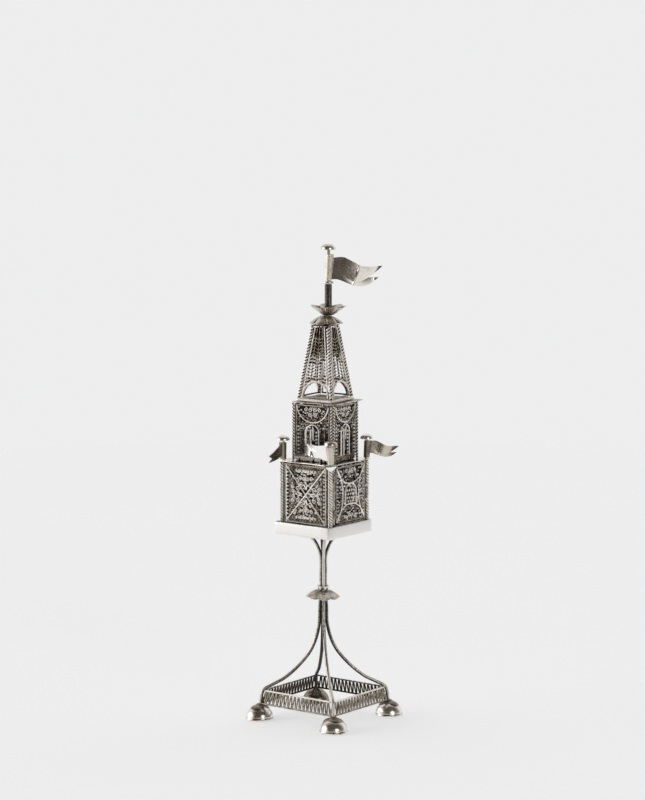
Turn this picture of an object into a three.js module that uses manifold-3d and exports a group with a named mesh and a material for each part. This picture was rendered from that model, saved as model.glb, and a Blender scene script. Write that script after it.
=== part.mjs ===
// A tiered spice tower in silver filigree. Four stem wires rise from a square footed base
// and carry a tray. On the tray stand a spice box with a door, a smaller box and a spire with
// a pennant. Millimetres, +Z up, origin on the floor below the middle of the tower.
// The front is -Y and the door is on the right, +X.
import * as THREE from 'three';
import { mergeVertices } from 'three/addons/utils/BufferGeometryUtils.js';
import Module from 'manifold-3d';

const wasm = await Module();
wasm.setup();

// Clearances
const SEAT_GAP = 0.3;
const RUN_GAP = 0.25;

// Base: half sizes are from the middle of the tower to the wires
const FOOT_RADIUS = 7.2;
const FOOT_HEIGHT = 6.8;
const FOOT_LIP = 0.8;
const BASE_HALF = 23.4;
const RAIL_RADIUS = 0.6;
const RAIL_INSET = 0.2;
const GALLERY_SPLAY = 1.1;
const GALLERY_HEIGHT = 6.6;
const GALLERY_THICKNESS = 0.8;
const GALLERY_LOOPS = 12;
const GALLERY_RIM = 0.35;
const GALLERY_WEB = 0.7;
const GALLERY_END_GAP = 0.75;

// Stem: four wires that run from the corners of the base to the tray
const WIRE_RADIUS = 0.75;
const BUNDLE_GAP = 0.25;
const WIRE_SIDES = 8;
const LEG_STEPS = 34;
const BUNDLE_LOW_Z = 50;
const FLARE_HALF = 5.2;
const FLARE_HEIGHT = 12.6;
const KNOP_RISE = 11.2;
const KNOP_RADIUS = 8.5;
const KNOP_HEIGHT = 3.2;
const KNOP_WALL = 0.8;
const KNOP_PETALS = 8;
const FERRULE_WALL = 0.6;
const FERRULE_HEIGHT = 1.3;

// How a stem wire runs, as shares of its way in from the rail and up to the bundle, then of the
// bundle's height, then of its way out and up to the tray
const LEG_CURVE = [
  [0.83, 0.087],
  [0.647, 0.165],
  [0.477, 0.272],
  [0.317, 0.401],
  [0.18, 0.541],
  [0.086, 0.692],
  [0.029, 0.846],
  [0.009, 1],
];
const BUNDLE_SHARES = [0.16, 0.375, 0.81];
const FLARE_CURVE = [
  [0.012, 0],
  [0.208, 0.4],
  [0.543, 0.745],
  [1, 1],
];

// The tray and the stem stand a little to one side of the boxes, as a handmade piece does
const TRAY_SHIFT = { x: -0.5, y: -0.4 };
const TRAY_Z = 94.6;
const TRAY_MARGIN = 2.7;
const TRAY_HEIGHT = 6.2;
const TRAY_WALL = 0.7;
const TRAY_FLOOR = 0.9;
const TRAY_CORNER = 1.6;

// Lower box: half sizes are from the middle of the box to the corner wires. Its width sets the
// widths of the tray, the plate, the upper box and the spire, each with a step of its own.
const LOWER_HALF = 15.2;
const LOWER_POST_RADIUS = 1.2;
const LOWER_HEIGHT = 34.8;
const LOWER_OVERHANG = 1.5;
const LOWER_PLATE_THICKNESS = 0.9;

// Upper box. With the spire on it, it is turned a little and stands a little off the middle of
// the lower box, and its plate is a little off again, as in a handmade piece.
const UPPER_TURN = 5;
const UPPER_SHIFT = { x: 0.3, y: 0.2 };
const UPPER_PLATE_SHIFT = { x: 0.9, y: 0.65 };
const UPPER_POST_RADIUS = 1.15;
const UPPER_HEIGHT = 28.4;
const UPPER_OVERHANG = 1.5;
const UPPER_PLATE_THICKNESS = 0.8;
const UPPER_BOW_RISE = 8.4;
const UPPER_ARCH_HALF = 3.7;
const UPPER_ARCH_SPRING = 13.4;

// Panels of filigree: border, main wires and a thin ground of fine wire work
const PANEL_DEPTH = 1.1;
const GROUND_THICKNESS = 0.45;
const BORDER_WIDTH = 0.9;
const ORNAMENT_WIDTH = 0.9;
const DOT_RADIUS = 0.6;
const DOT_PITCH = 3.6;
const DOT_INSET = 2.4;
const BOW_STEPS = 10;
const ROUND_STEPS = 6;

// Door in the right side of the lower box
const DOOR_GAP = 0.35;
const DOOR_SILL = 5.9;
const SILL_GAP = 0.3;
const HINGE_PIN_RADIUS = 0.55;
const KNUCKLE_WALL = 0.35;
const KNUCKLE_HEIGHT = 4.5;
const KNUCKLE_MARGIN = 3.0;
const DOOR_BOW_RISE = 8.6;
const DOOR_SIDE_RISE = 5.2;
const WINDOW_HALF = 3.6;
const WINDOW_DROP = 6.6;
const WINDOW_SPRING = 2.2;
const PULL_RADIUS = 0.45;
const PULL_HEIGHT = 7.0;
const PULL_REACH = 1.6;
const PULL_DROP = 1.0;
const PULL_BEND = 0.4;
const PULL_STEPS = 16;

// Spire
const SPIRE_STEP = 2.0;
const SPIRE_TOP_HALF = 4.55;
const SPIRE_HEIGHT = 35.6;
const SPIRE_POST_RADIUS = 1.1;
const SPIRE_SIDE_GAP = 0.4;
const SPIRE_SILL_MARGIN = 1.1;
const SPIRE_SILL_HEIGHT = 1.1;
const SPIRE_SILL_WIDTH = 2.2;
const SPIRE_ARCH_MARGIN = 0.6;
const SPIRE_ARCH_HEIGHT = 7.8;
const SPIRE_ARCH_LIP = 0.3;
const SPIRE_PANEL_DEPTH = 0.9;
const CROWN_MARGIN = 0.9;
const CROWN_CORNER = 1.2;
const CROWN_THICKNESS = 0.7;
const CROWN_PEG_RADIUS = 1.5;

// Flower cups, pole, pennant and cap at the top
const CUP_WALL = 0.6;
const CUP_PETALS = 6;
const CUP_SLOPE = 0.12;
const CUP_CURL = 2.4;
const PETAL_NOTCH = 0.2;
const LOW_CUP_YAW = 37;
const HIGH_CUP_YAW = 20;
const LOW_CUP_RADIUS = 8.2;
const LOW_CUP_HEIGHT = 4.4;
const LOW_CUP_DROP = 0.6;
const CUP_SHIFT = { x: 0.7, y: 0.5 };
const HIGH_CUP_RADIUS = 8.8;
const HIGH_CUP_HEIGHT = 5.0;
const POLE_SHIFT = { x: 1.5, y: 1.15 };
const POLE_RADIUS = 1.8;
const POLE_HEIGHT = 15.3;
const WASHER_RADIUS = 2.95;
const WASHER_HEIGHT = 1.3;
const ROD_RADIUS = 1.05;
const CAP_RADIUS = 3.8;
const CAP_HEIGHT = 2.8;
const CAP_CLEARANCE = 2.4;
const CAP_HOLLOW = 0.3;
const SLEEVE_WALL = 0.55;
const SHEET_THICKNESS = 0.55;
const SHEET_WAVES = 0.85;
const PENNANT_LENGTH = 27.0;
const PENNANT_HEIGHT = 11.8;
const PENNANT_LIFT = 0;
const PENNANT_SLEEVE = 13.1;
const PENNANT_WAVE = 1.8;
const PENNANT_YAW = 37;

// Small pennants on posts at the corners of the lower plate
const SMALL_POST_INSET = 1.8;
const SMALL_POST_SHIFT = { x: 0.2, y: 0.15 };
const SMALL_POST_RADIUS = 0.8;
const SMALL_POST_HEIGHT = 12.2;
const SMALL_CAP_RADIUS = 3.35;
const SMALL_CAP_HEIGHT = 2.4;
const SMALL_CAP_GAP = 0.45;
const SMALL_LENGTH = 16.3;
const SMALL_HEIGHT = 6.6;
const SMALL_LIFT = 1.8;
const SMALL_SLEEVE = 8.4;
const SMALL_WAVE = 0.7;
const SMALL_YAWS = { front_right: 184, back_right: 37, back_left: 37, front_left: 284 };

const SIDES = ['front', 'right', 'back', 'left'];
const CORNERS = [
  { name: 'front_right', x: 1, y: -1 },
  { name: 'back_right', x: 1, y: 1 },
  { name: 'back_left', x: -1, y: 1 },
  { name: 'front_left', x: -1, y: -1 },
];

// Widths that follow from the sizes above
const RAIL_LOW_HALF = BASE_HALF - RAIL_INSET;
const RAIL_TOP_HALF = RAIL_LOW_HALF - GALLERY_SPLAY;
const KNUCKLE_RADIUS = HINGE_PIN_RADIUS + RUN_GAP + KNUCKLE_WALL;
const TRAY_HALF = LOWER_HALF + TRAY_MARGIN;
const LOWER_PLATE_HALF = LOWER_HALF + LOWER_OVERHANG;
const SMALL_POST_AT = LOWER_PLATE_HALF - SMALL_POST_INSET;
const SMALL_POST_REACH = UPPER_POST_RADIUS + SMALL_CAP_RADIUS + SMALL_CAP_GAP;
const UPPER_HALF = clearUpperHalf();
const UPPER_PLATE_HALF = UPPER_HALF + UPPER_OVERHANG;
const SPIRE_LOW_HALF = UPPER_HALF - SPIRE_STEP;
const SPIRE_SILL_HALF = SPIRE_LOW_HALF + SPIRE_SILL_MARGIN;
const CROWN_HALF = SPIRE_TOP_HALF + CROWN_MARGIN;

// Heights that follow from the sizes above
const RAIL_LOW_Z = FOOT_HEIGHT + SEAT_GAP + RAIL_RADIUS;
const RAIL_TOP_Z = RAIL_LOW_Z + GALLERY_HEIGHT;
const KNOP_Z = BUNDLE_LOW_Z + KNOP_RISE;
const BUNDLE_TOP_Z = TRAY_Z - FLARE_HEIGHT;
const FLARE_TOP_Z = TRAY_Z - SEAT_GAP - WIRE_RADIUS;
const LOWER_Z = TRAY_Z + TRAY_FLOOR + SEAT_GAP;
const LOWER_PLATE_Z = LOWER_Z + LOWER_HEIGHT + SEAT_GAP;
const LOWER_PLATE_TOP = LOWER_PLATE_Z + LOWER_PLATE_THICKNESS;
const UPPER_Z = LOWER_PLATE_TOP + SEAT_GAP;
const UPPER_PLATE_Z = UPPER_Z + UPPER_HEIGHT + SEAT_GAP;
const UPPER_PLATE_TOP = UPPER_PLATE_Z + UPPER_PLATE_THICKNESS;
const SPIRE_SILL_Z = UPPER_PLATE_TOP + SEAT_GAP;
const SPIRE_Z = SPIRE_SILL_Z + SPIRE_SILL_HEIGHT + SEAT_GAP;
const SPIRE_TOP_Z = SPIRE_Z + SPIRE_HEIGHT;
const CROWN_Z = SPIRE_TOP_Z + SEAT_GAP;
const LOW_CUP_Z = CROWN_Z + LOW_CUP_DROP;
const HIGH_CUP_Z = LOW_CUP_Z + LOW_CUP_HEIGHT + SEAT_GAP;
const POLE_TOP_Z = HIGH_CUP_Z + POLE_HEIGHT;
const WASHER_Z = POLE_TOP_Z + SEAT_GAP;
const WASHER_TOP = WASHER_Z + WASHER_HEIGHT;
const PENNANT_Z = WASHER_TOP + SEAT_GAP;
const TOP_CAP_Z = PENNANT_Z + PENNANT_SLEEVE + CAP_CLEARANCE;

// The outline of a pennant, as shares of its length and height
const PENNANT_OUTLINE = [
  [0, 0.1],
  [0.18, 0.1],
  [0.29, 0.02],
  [0.46, -0.14],
  [0.58, -0.23],
  [0.7, -0.18],
  [0.81, -0.06],
  [0.93, 0.16],
  [0.72, 0.2],
  [0.93, 0.48],
  [1, 0.62],
  [0.68, 0.62],
  [0.59, 0.67],
  [0.41, 0.89],
  [0.31, 1],
  [0, 1],
];


const SILVER = { color: 0xcfc9bf, roughness: 0.32, metalness: 1 };
const DARK_SILVER = { color: 0x8a8279, roughness: 0.45, metalness: 1 };

// Turns a closed geometry into a solid, without the triangles that collapse on an axis
// The half size of the upper box at which its nearest corner wire clears a small cap
function clearUpperHalf() {
  const turn = THREE.MathUtils.degToRad(UPPER_TURN);
  const halves = CORNERS.map(({ x, y }) => {
    const corner = new THREE.Vector2(x, y).rotateAround(new THREE.Vector2(), turn);
    const post = new THREE.Vector2(x, y).multiplyScalar(SMALL_POST_AT);
    post.add(SMALL_POST_SHIFT).sub(UPPER_SHIFT);
    const along = post.dot(corner) / 2;
    const clear = (post.lengthSq() - SMALL_POST_REACH ** 2) / 2;
    return along - Math.sqrt(Math.max(along ** 2 - clear, 0));
  });
  return Math.min(...halves);
}

function solidOf(geometry) {
  const bare = geometry.clone();
  bare.deleteAttribute('normal');
  bare.deleteAttribute('uv');
  const merged = mergeVertices(bare, 1e-4);
  const index = merged.index.array;
  const kept = [];
  for (let i = 0; i < index.length; i += 3) {
    const [a, b, c] = [index[i], index[i + 1], index[i + 2]];
    if (a !== b && b !== c && c !== a) kept.push(a, b, c);
  }
  const mesh = new wasm.Mesh({
    numProp: 3,
    vertProperties: Float32Array.from(merged.attributes.position.array),
    triVerts: Uint32Array.from(kept),
  });
  mesh.merge();
  return new wasm.Manifold(mesh);
}

function geometryOf(solid) {
  const mesh = solid.getMesh();
  const geometry = new THREE.BufferGeometry();
  geometry.setAttribute('position', new THREE.BufferAttribute(mesh.vertProperties, 3));
  geometry.setIndex(new THREE.BufferAttribute(mesh.triVerts, 1));
  geometry.computeVertexNormals();
  return geometry;
}

function joined(...geometries) {
  const solids = geometries.map(solidOf);
  return geometryOf(wasm.Manifold.union(solids));
}

function common(first, second) {
  return geometryOf(solidOf(first).intersect(solidOf(second)));
}

// A turned piece from a profile of [radius, height] pairs, outer side going up
function turned(profile, segments) {
  const points = profile.map(([radius, height]) => new THREE.Vector2(radius, height));
  const geometry = new THREE.LatheGeometry(points, segments);
  geometry.rotateX(Math.PI / 2);
  return geometryOf(solidOf(geometry));
}

function turnedRing(inner, outer, low, high, segments) {
  const profile = [[inner, low], [outer, low], [outer, high], [inner, high], [inner, low]];
  return turned(profile, segments);
}

// A round wire along a list of points
function wire(points, radius, sides, steps) {
  const section = new THREE.Shape();
  for (let i = 0; i < sides; i += 1) {
    const angle = (i / sides) * 2 * Math.PI;
    const corner = [radius * Math.cos(angle), radius * Math.sin(angle)];
    if (i === 0) section.moveTo(...corner);
    else section.lineTo(...corner);
  }
  section.closePath();
  const path = new THREE.CatmullRomCurve3(points);
  return new THREE.ExtrudeGeometry(section, { steps, bevelEnabled: false, extrudePath: path });
}

// A straight round bar between two points
function bar(start, end, radius, sides) {
  const along = new THREE.Vector3().subVectors(end, start);
  const geometry = new THREE.CylinderGeometry(radius, radius, along.length(), sides);
  const up = new THREE.Vector3(0, 1, 0);
  const middle = start.clone().add(end).multiplyScalar(0.5);
  geometry.applyQuaternion(new THREE.Quaternion().setFromUnitVectors(up, along.normalize()));
  geometry.translate(middle.x, middle.y, middle.z);
  return geometry;
}

// A flat slab from an outline in x and y
function slab(shape, low, thickness) {
  const options = { depth: thickness, bevelEnabled: false, curveSegments: 4 };
  const geometry = new THREE.ExtrudeGeometry(shape, options);
  geometry.translate(0, 0, low);
  return geometry;
}

// A flat plate from an outline in x and z, its front face at y = -plane
function plate(shape, plane, thickness) {
  const geometry = slab(shape, 0, thickness);
  geometry.rotateX(Math.PI / 2);
  geometry.translate(0, thickness - plane, 0);
  return geometry;
}

function polygon(points) {
  return new THREE.Shape(points.map(([x, y]) => new THREE.Vector2(x, y)));
}

function rectangle(left, bottom, right, top) {
  return polygon([[left, bottom], [right, bottom], [right, top], [left, top]]);
}

function roundedSquare(half, corner) {
  const shape = new THREE.Shape();
  const inset = half - corner;
  shape.absarc(inset, -inset, corner, -Math.PI / 2, 0);
  shape.absarc(inset, inset, corner, 0, Math.PI / 2);
  shape.absarc(-inset, inset, corner, Math.PI / 2, Math.PI);
  shape.absarc(-inset, -inset, corner, Math.PI, 1.5 * Math.PI);
  return shape;
}

// The outline of a strip of one width along a line of points
function ribbon(points, width) {
  const left = [];
  const right = [];
  points.forEach(([x, y], i) => {
    const before = points[Math.max(i - 1, 0)];
    const after = points[Math.min(i + 1, points.length - 1)];
    const dx = after[0] - before[0];
    const dy = after[1] - before[1];
    const scale = width / 2 / Math.hypot(dx, dy);
    left.push([x - dy * scale, y + dx * scale]);
    right.unshift([x + dy * scale, y - dx * scale]);
  });
  return polygon([...right.reverse(), ...left.reverse()]);
}

function arc(cx, cy, radius, from, to, steps) {
  const points = [];
  for (let i = 0; i <= steps; i += 1) {
    const angle = THREE.MathUtils.degToRad(from + ((to - from) * i) / steps);
    points.push([cx + radius * Math.cos(angle), cy + radius * Math.sin(angle)]);
  }
  return points;
}

// The arc over a chord of a given half width and rise, centred on x = 0 at height y
function bow(half, rise, y, steps) {
  const radius = (half * half + rise * rise) / (2 * Math.abs(rise));
  const sweep = THREE.MathUtils.radToDeg(Math.asin(Math.min(half / radius, 1)));
  const wide = Math.abs(rise) > half ? 180 - sweep : sweep;
  if (rise > 0) return arc(0, y + rise - radius, radius, 90 + wide, 90 - wide, steps);
  return arc(0, y + rise + radius, radius, 270 - wide, 270 + wide, steps);
}

function dotHole(x, y) {
  const hole = new THREE.Path();
  arc(x, y, DOT_RADIUS, 30, 330, 5).forEach((point, i) => {
    if (i === 0) hole.moveTo(...point);
    else hole.lineTo(...point);
  });
  hole.closePath();
  return hole;
}

// A framed panel in x and z: ground with columns of dots, border and main wires
function panel(half, low, high, plane, strips) {
  const ground = rectangle(-half, low, half, high);
  const columns = Math.floor((high - low - 2 * DOT_INSET) / DOT_PITCH);
  for (let i = 0; i <= columns; i += 1) {
    const y = (low + high) / 2 + (i - columns / 2) * DOT_PITCH;
    ground.holes.push(dotHole(half - DOT_INSET, y), dotHole(DOT_INSET - half, y));
  }
  const border = rectangle(-half, low, half, high);
  const edge = half - BORDER_WIDTH;
  border.holes.push(rectangle(-edge, low + BORDER_WIDTH, edge, high - BORDER_WIDTH));
  const middle = plane - (PANEL_DEPTH - GROUND_THICKNESS) / 2;
  return joined(
    plate(ground, middle, GROUND_THICKNESS),
    plate(border, plane, PANEL_DEPTH),
    ...strips.map((points) => plate(ribbon(points, ORNAMENT_WIDTH), plane, PANEL_DEPTH)),
  );
}

// A shell of petals: a thin turned cup cut by a lobed outline. A bore of 0 closes its middle.
function petalCup(bore, radius, height, wall, petals, downward) {
  const steps = 5;
  const outer = [];
  const inner = [];
  for (let i = 0; i <= steps; i += 1) {
    const share = i / steps;
    const r = bore + (radius - bore) * share;
    const rise = height * (CUP_SLOPE * share + (1 - CUP_SLOPE) * share ** CUP_CURL);
    outer.push([r, rise]);
    inner.unshift([r, rise + wall]);
  }
  const loop = bore > 0 ? [...outer, ...inner, outer[0]] : [...outer, ...inner];
  const profile = downward
    ? loop.map(([r, z]) => [r, height + wall - z]).reverse()
    : loop;
  const lobes = [];
  const around = petals * 6;
  for (let i = 0; i < around; i += 1) {
    const angle = (i / around) * 2 * Math.PI;
    const reach = radius * (1 - (PETAL_NOTCH * (1 - Math.cos(angle * petals))) / 2);
    lobes.push([reach * Math.cos(angle), reach * Math.sin(angle)]);
  }
  return common(turned(profile, petals * 4), slab(polygon(lobes), -wall, height + 3 * wall));
}

// The profile of a plain round rod
function rodProfile(radius, low, high) {
  return [[0, low], [radius, low], [radius, high], [0, high]];
}

// The profile of a domed cap, from the middle of its underside to its top
function mushroom(radius, height) {
  return [
    [0, height * CAP_HOLLOW],
    [radius * 0.5, height * CAP_HOLLOW],
    [radius * 0.96, 0],
    [radius, height * 0.14],
    [radius * 0.82, height * 0.56],
    [radius * 0.48, height * 0.88],
    [0, height],
  ];
}

// A wavy swallow-tailed pennant with its sleeve, pointing along +X from the axis of its post
function pennant({ length, height, lift, wave, post, sleeve }) {
  const inner = post + RUN_GAP;
  const outer = inner + SLEEVE_WALL;
  const start = inner + SLEEVE_WALL / 2;
  const steps = 12;
  const path = [];
  for (let i = 0; i <= steps; i += 1) {
    const share = i / steps;
    const swing = Math.sin(share * SHEET_WAVES * 2 * Math.PI) * Math.sqrt(share);
    path.push([start + (length - start) * share, wave * swing]);
  }
  const sheet = slab(ribbon(path, SHEET_THICKNESS), -height, 3 * height);
  const outline = polygon(PENNANT_OUTLINE.map(([x, z]) => [x * length, z * height + lift]));
  const cutter = plate(outline, 2 * wave, 4 * wave);
  return joined(common(sheet, cutter), turnedRing(inner, outer, 0, sleeve, 16));
}

const tower = new THREE.Group();

function add(name, geometry, looks, place = {}) {
  const mesh = new THREE.Mesh(geometry, new THREE.MeshStandardMaterial(looks));
  mesh.name = name;
  mesh.position.set(place.x ?? 0, place.y ?? 0, place.z ?? 0);
  mesh.rotation.z = THREE.MathUtils.degToRad(place.yaw ?? 0);
  tower.add(mesh);
  return mesh;
}

// Adds a piece of the upper box or the spire, at a place counted from the middle of that box
function addUpper(name, geometry, looks, place = {}) {
  const turn = THREE.MathUtils.degToRad(UPPER_TURN);
  const spot = new THREE.Vector2(place.x ?? 0, place.y ?? 0);
  spot.rotateAround(new THREE.Vector2(), turn).add(UPPER_SHIFT);
  const yaw = (place.yaw ?? 0) + UPPER_TURN;
  add(name, geometry, looks, { x: spot.x, y: spot.y, z: place.z, yaw });
}

function eachCorner(build) {
  CORNERS.forEach((corner, i) => build(corner, i));
}

function eachSide(build) {
  SIDES.forEach((side, i) => build(side, 90 * i));
}

function buildBase() {
  const dome = [[0, 0], [FOOT_RADIUS, 0], [FOOT_RADIUS, FOOT_LIP]];
  const domeSteps = 5;
  for (let i = 1; i <= domeSteps; i += 1) {
    const angle = (i / domeSteps) * (Math.PI / 2);
    const r = i === domeSteps ? 0 : FOOT_RADIUS * Math.cos(angle);
    dome.push([r, FOOT_LIP + (FOOT_HEIGHT - FOOT_LIP) * Math.sin(angle)]);
  }
  const foot = turned(dome, 16);
  eachCorner(({ name, x, y }) => {
    add(`foot_${name}`, foot, SILVER, { x: x * BASE_HALF, y: y * BASE_HALF });
  });

  // Each side of the gallery is a low rail, a high rail and a band of loops between them
  const post = WIRE_RADIUS + GALLERY_END_GAP;
  const lowEnd = RAIL_LOW_HALF - post;
  const topEnd = RAIL_TOP_HALF - post;
  const band = polygon([[-lowEnd, 0], [lowEnd, 0], [topEnd, GALLERY_HEIGHT], [-topEnd, GALLERY_HEIGHT]]);
  const pitch = (2 * topEnd - GALLERY_WEB) / GALLERY_LOOPS;
  const middle = GALLERY_HEIGHT / 2;
  const loopTop = GALLERY_HEIGHT - RAIL_RADIUS - GALLERY_RIM;
  const loopLow = RAIL_RADIUS + GALLERY_RIM;
  for (let i = 0; i < GALLERY_LOOPS; i += 1) {
    const x = (i - (GALLERY_LOOPS - 1) / 2) * pitch;
    const reach = (pitch - GALLERY_WEB) / 2;
    const loop = new THREE.Path();
    loop.moveTo(x, loopLow);
    loop.lineTo(x + reach, middle);
    loop.lineTo(x, loopTop);
    loop.lineTo(x - reach, middle);
    loop.closePath();
    band.holes.push(loop);
  }
  const sheet = plate(band, GALLERY_THICKNESS / 2, GALLERY_THICKNESS);
  const splay = Math.atan2(RAIL_LOW_HALF - RAIL_TOP_HALF, GALLERY_HEIGHT);
  sheet.rotateX(-splay);
  sheet.translate(0, -RAIL_LOW_HALF, RAIL_LOW_Z);
  const railLow = bar(
    new THREE.Vector3(-lowEnd, -RAIL_LOW_HALF, RAIL_LOW_Z),
    new THREE.Vector3(lowEnd, -RAIL_LOW_HALF, RAIL_LOW_Z),
    RAIL_RADIUS,
    8,
  );
  const railTop = bar(
    new THREE.Vector3(-topEnd, -RAIL_TOP_HALF, RAIL_TOP_Z),
    new THREE.Vector3(topEnd, -RAIL_TOP_HALF, RAIL_TOP_Z),
    RAIL_RADIUS,
    8,
  );
  const gallery = joined(sheet, railLow, railTop);
  eachSide((side, yaw) => add(`base_gallery_${side}`, gallery, DARK_SILVER, { yaw }));
}

function buildStem() {
  const close = WIRE_RADIUS + BUNDLE_GAP / 2;
  eachCorner(({ name, x, y }) => {
    const { lerp } = THREE.MathUtils;
    const route = [
      [RAIL_LOW_HALF, RAIL_LOW_Z],
      [RAIL_TOP_HALF, RAIL_TOP_Z],
      ...LEG_CURVE.map(([out, up]) => {
        return [lerp(close, RAIL_TOP_HALF, out), lerp(RAIL_TOP_Z, BUNDLE_LOW_Z, up)];
      }),
      ...BUNDLE_SHARES.map((up) => [close, lerp(BUNDLE_LOW_Z, BUNDLE_TOP_Z, up)]),
      ...FLARE_CURVE.map(([out, up]) => {
        return [lerp(close, FLARE_HALF, out), lerp(BUNDLE_TOP_Z, FLARE_TOP_Z, up)];
      }),
    ];
    const points = route.map(([half, z]) => {
      const share = THREE.MathUtils.smoothstep(z, RAIL_TOP_Z, BUNDLE_LOW_Z);
      return new THREE.Vector3(x * half + share * TRAY_SHIFT.x, y * half + share * TRAY_SHIFT.y, z);
    });
    add(`stem_wire_${name}`, geometryOf(solidOf(wire(points, WIRE_RADIUS, WIRE_SIDES, LEG_STEPS))), SILVER);
  });
  const bundle = close * Math.SQRT2 + WIRE_RADIUS + SEAT_GAP;
  const knop = petalCup(bundle, KNOP_RADIUS, KNOP_HEIGHT, KNOP_WALL, KNOP_PETALS, true);
  add('stem_knop', knop, SILVER, { ...TRAY_SHIFT, z: KNOP_Z });
  const ferrule = turnedRing(bundle, bundle + FERRULE_WALL, 0, FERRULE_HEIGHT, 20);
  const ferruleZ = KNOP_Z + KNOP_HEIGHT + KNOP_WALL + SEAT_GAP;
  add('knop_ferrule', ferrule, SILVER, { ...TRAY_SHIFT, z: ferruleZ });
}

function buildTray() {
  const outside = solidOf(slab(roundedSquare(TRAY_HALF, TRAY_CORNER), 0, TRAY_HEIGHT));
  const innerHalf = TRAY_HALF - TRAY_WALL;
  const innerCorner = TRAY_CORNER - TRAY_WALL;
  const inside = solidOf(slab(roundedSquare(innerHalf, innerCorner), TRAY_FLOOR, TRAY_HEIGHT));
  add('tray', geometryOf(outside.subtract(inside)), SILVER, { ...TRAY_SHIFT, z: TRAY_Z });
}

function buildPosts(prefix, half, radius, low, height, put) {
  const post = new THREE.CylinderGeometry(radius, radius, height, 10);
  post.rotateX(Math.PI / 2);
  post.translate(0, 0, height / 2);
  eachCorner(({ name, x, y }) => {
    put(`${prefix}_${name}`, post, DARK_SILVER, { x: x * half, y: y * half, z: low });
  });
}

function buildLowerBox() {
  buildPosts('lower_post', LOWER_HALF, LOWER_POST_RADIUS, LOWER_Z, LOWER_HEIGHT, add);
  const half = LOWER_HALF - LOWER_POST_RADIUS - SEAT_GAP;
  const plane = LOWER_HALF + PANEL_DEPTH / 2;
  const seen = TRAY_HEIGHT - TRAY_FLOOR;
  const top = LOWER_Z + LOWER_HEIGHT;
  const inset = BORDER_WIDTH / 2;
  const crossLow = LOWER_Z + seen;
  const cross = [
    [[inset - half, crossLow], [half - inset, top - inset]],
    [[half - inset, crossLow], [inset - half, top - inset]],
  ];
  const panels = panel(half, LOWER_Z, top, plane, cross);
  eachSide((side, yaw) => {
    if (side !== 'right') add(`lower_panel_${side}`, panels, DARK_SILVER, { yaw });
  });
  const cover = slab(roundedSquare(LOWER_PLATE_HALF, TRAY_CORNER), 0, LOWER_PLATE_THICKNESS);
  add('lower_plate', cover, SILVER, { z: LOWER_PLATE_Z });
  buildDoor(half, plane, top);
}

// The door fills the right side above the tray rim and turns on a pin beside the front post
function buildDoor(half, plane, top) {
  const pinAt = half - KNUCKLE_RADIUS;
  const doorHalfLow = pinAt - KNUCKLE_RADIUS - DOOR_GAP;
  const low = LOWER_Z + DOOR_SILL;
  const high = top - DOOR_GAP;
  const sillLeft = HINGE_PIN_RADIUS + SEAT_GAP - pinAt;
  const sill = plate(rectangle(sillLeft, LOWER_Z, half, low - SILL_GAP), plane, PANEL_DEPTH);
  add('door_sill', sill, DARK_SILVER, { yaw: 90 });
  const free = half - DOOR_GAP;
  const leafHalf = (free + doorHalfLow) / 2;
  const shift = (free - doorHalfLow) / 2;
  const middle = (low + high) / 2;
  const reach = leafHalf - BORDER_WIDTH / 2;
  const tall = (high - low) / 2 - BORDER_WIDTH / 2;
  const sideBow = bow(tall, DOOR_SIDE_RISE, 0, BOW_STEPS);
  const windowLow = middle - WINDOW_DROP;
  const spring = middle + WINDOW_SPRING;
  const strips = [
    bow(reach, -DOOR_BOW_RISE, high - BORDER_WIDTH / 2, BOW_STEPS),
    bow(reach, DOOR_BOW_RISE, low + BORDER_WIDTH / 2, BOW_STEPS),
    sideBow.map(([x, y]) => [y - reach, middle - x]),
    sideBow.map(([x, y]) => [reach - y, middle + x]),
    [
      [-WINDOW_HALF, windowLow],
      ...arc(0, spring, WINDOW_HALF, 180, 0, ROUND_STEPS),
      [WINDOW_HALF, windowLow],
    ],
    [[-WINDOW_HALF, windowLow], [WINDOW_HALF, windowLow]],
  ];
  const leaf = panel(leafHalf, low, high, plane, strips);
  leaf.translate(shift, 0, 0);
  const knuckles = [low + KNUCKLE_MARGIN, high - KNUCKLE_MARGIN - KNUCKLE_HEIGHT].map((z) => {
    const barrel = turnedRing(HINGE_PIN_RADIUS + RUN_GAP, KNUCKLE_RADIUS, z, z + KNUCKLE_HEIGHT, 12);
    barrel.translate(-pinAt, -LOWER_HALF, 0);
    const tongueStart = KNUCKLE_RADIUS - KNUCKLE_WALL / 2 - pinAt;
    const tongueShape = rectangle(tongueStart, z, BORDER_WIDTH / 2 - doorHalfLow, z + KNUCKLE_HEIGHT);
    const tongue = plate(tongueShape, LOWER_HALF + GROUND_THICKNESS / 2, GROUND_THICKNESS);
    return joined(barrel, tongue);
  });
  add('door', joined(leaf, ...knuckles), DARK_SILVER, { yaw: 90 });
  const pin = turned(rodProfile(HINGE_PIN_RADIUS, 0, LOWER_HEIGHT), 12);
  add('door_hinge_pin', pin, SILVER, { x: LOWER_HALF, y: -pinAt, z: LOWER_Z });

  // A bent wire staple on the free edge of the door
  const face = -plane - SEAT_GAP;
  const pullX = free - BORDER_WIDTH / 2;
  const pullLow = middle - PULL_HEIGHT / 2 - PULL_DROP;
  const staple = [
    [0, 0],
    [PULL_REACH - PULL_BEND, PULL_BEND],
    [PULL_REACH, PULL_HEIGHT / 2],
    [PULL_REACH - PULL_BEND, PULL_HEIGHT - PULL_BEND],
    [0, PULL_HEIGHT],
  ].map(([out, up]) => new THREE.Vector3(pullX, face - out, pullLow + up));
  const pull = wire(staple, PULL_RADIUS, WIRE_SIDES, PULL_STEPS);
  add('door_pull', geometryOf(solidOf(pull)), SILVER, { yaw: 90 });
}

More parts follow.
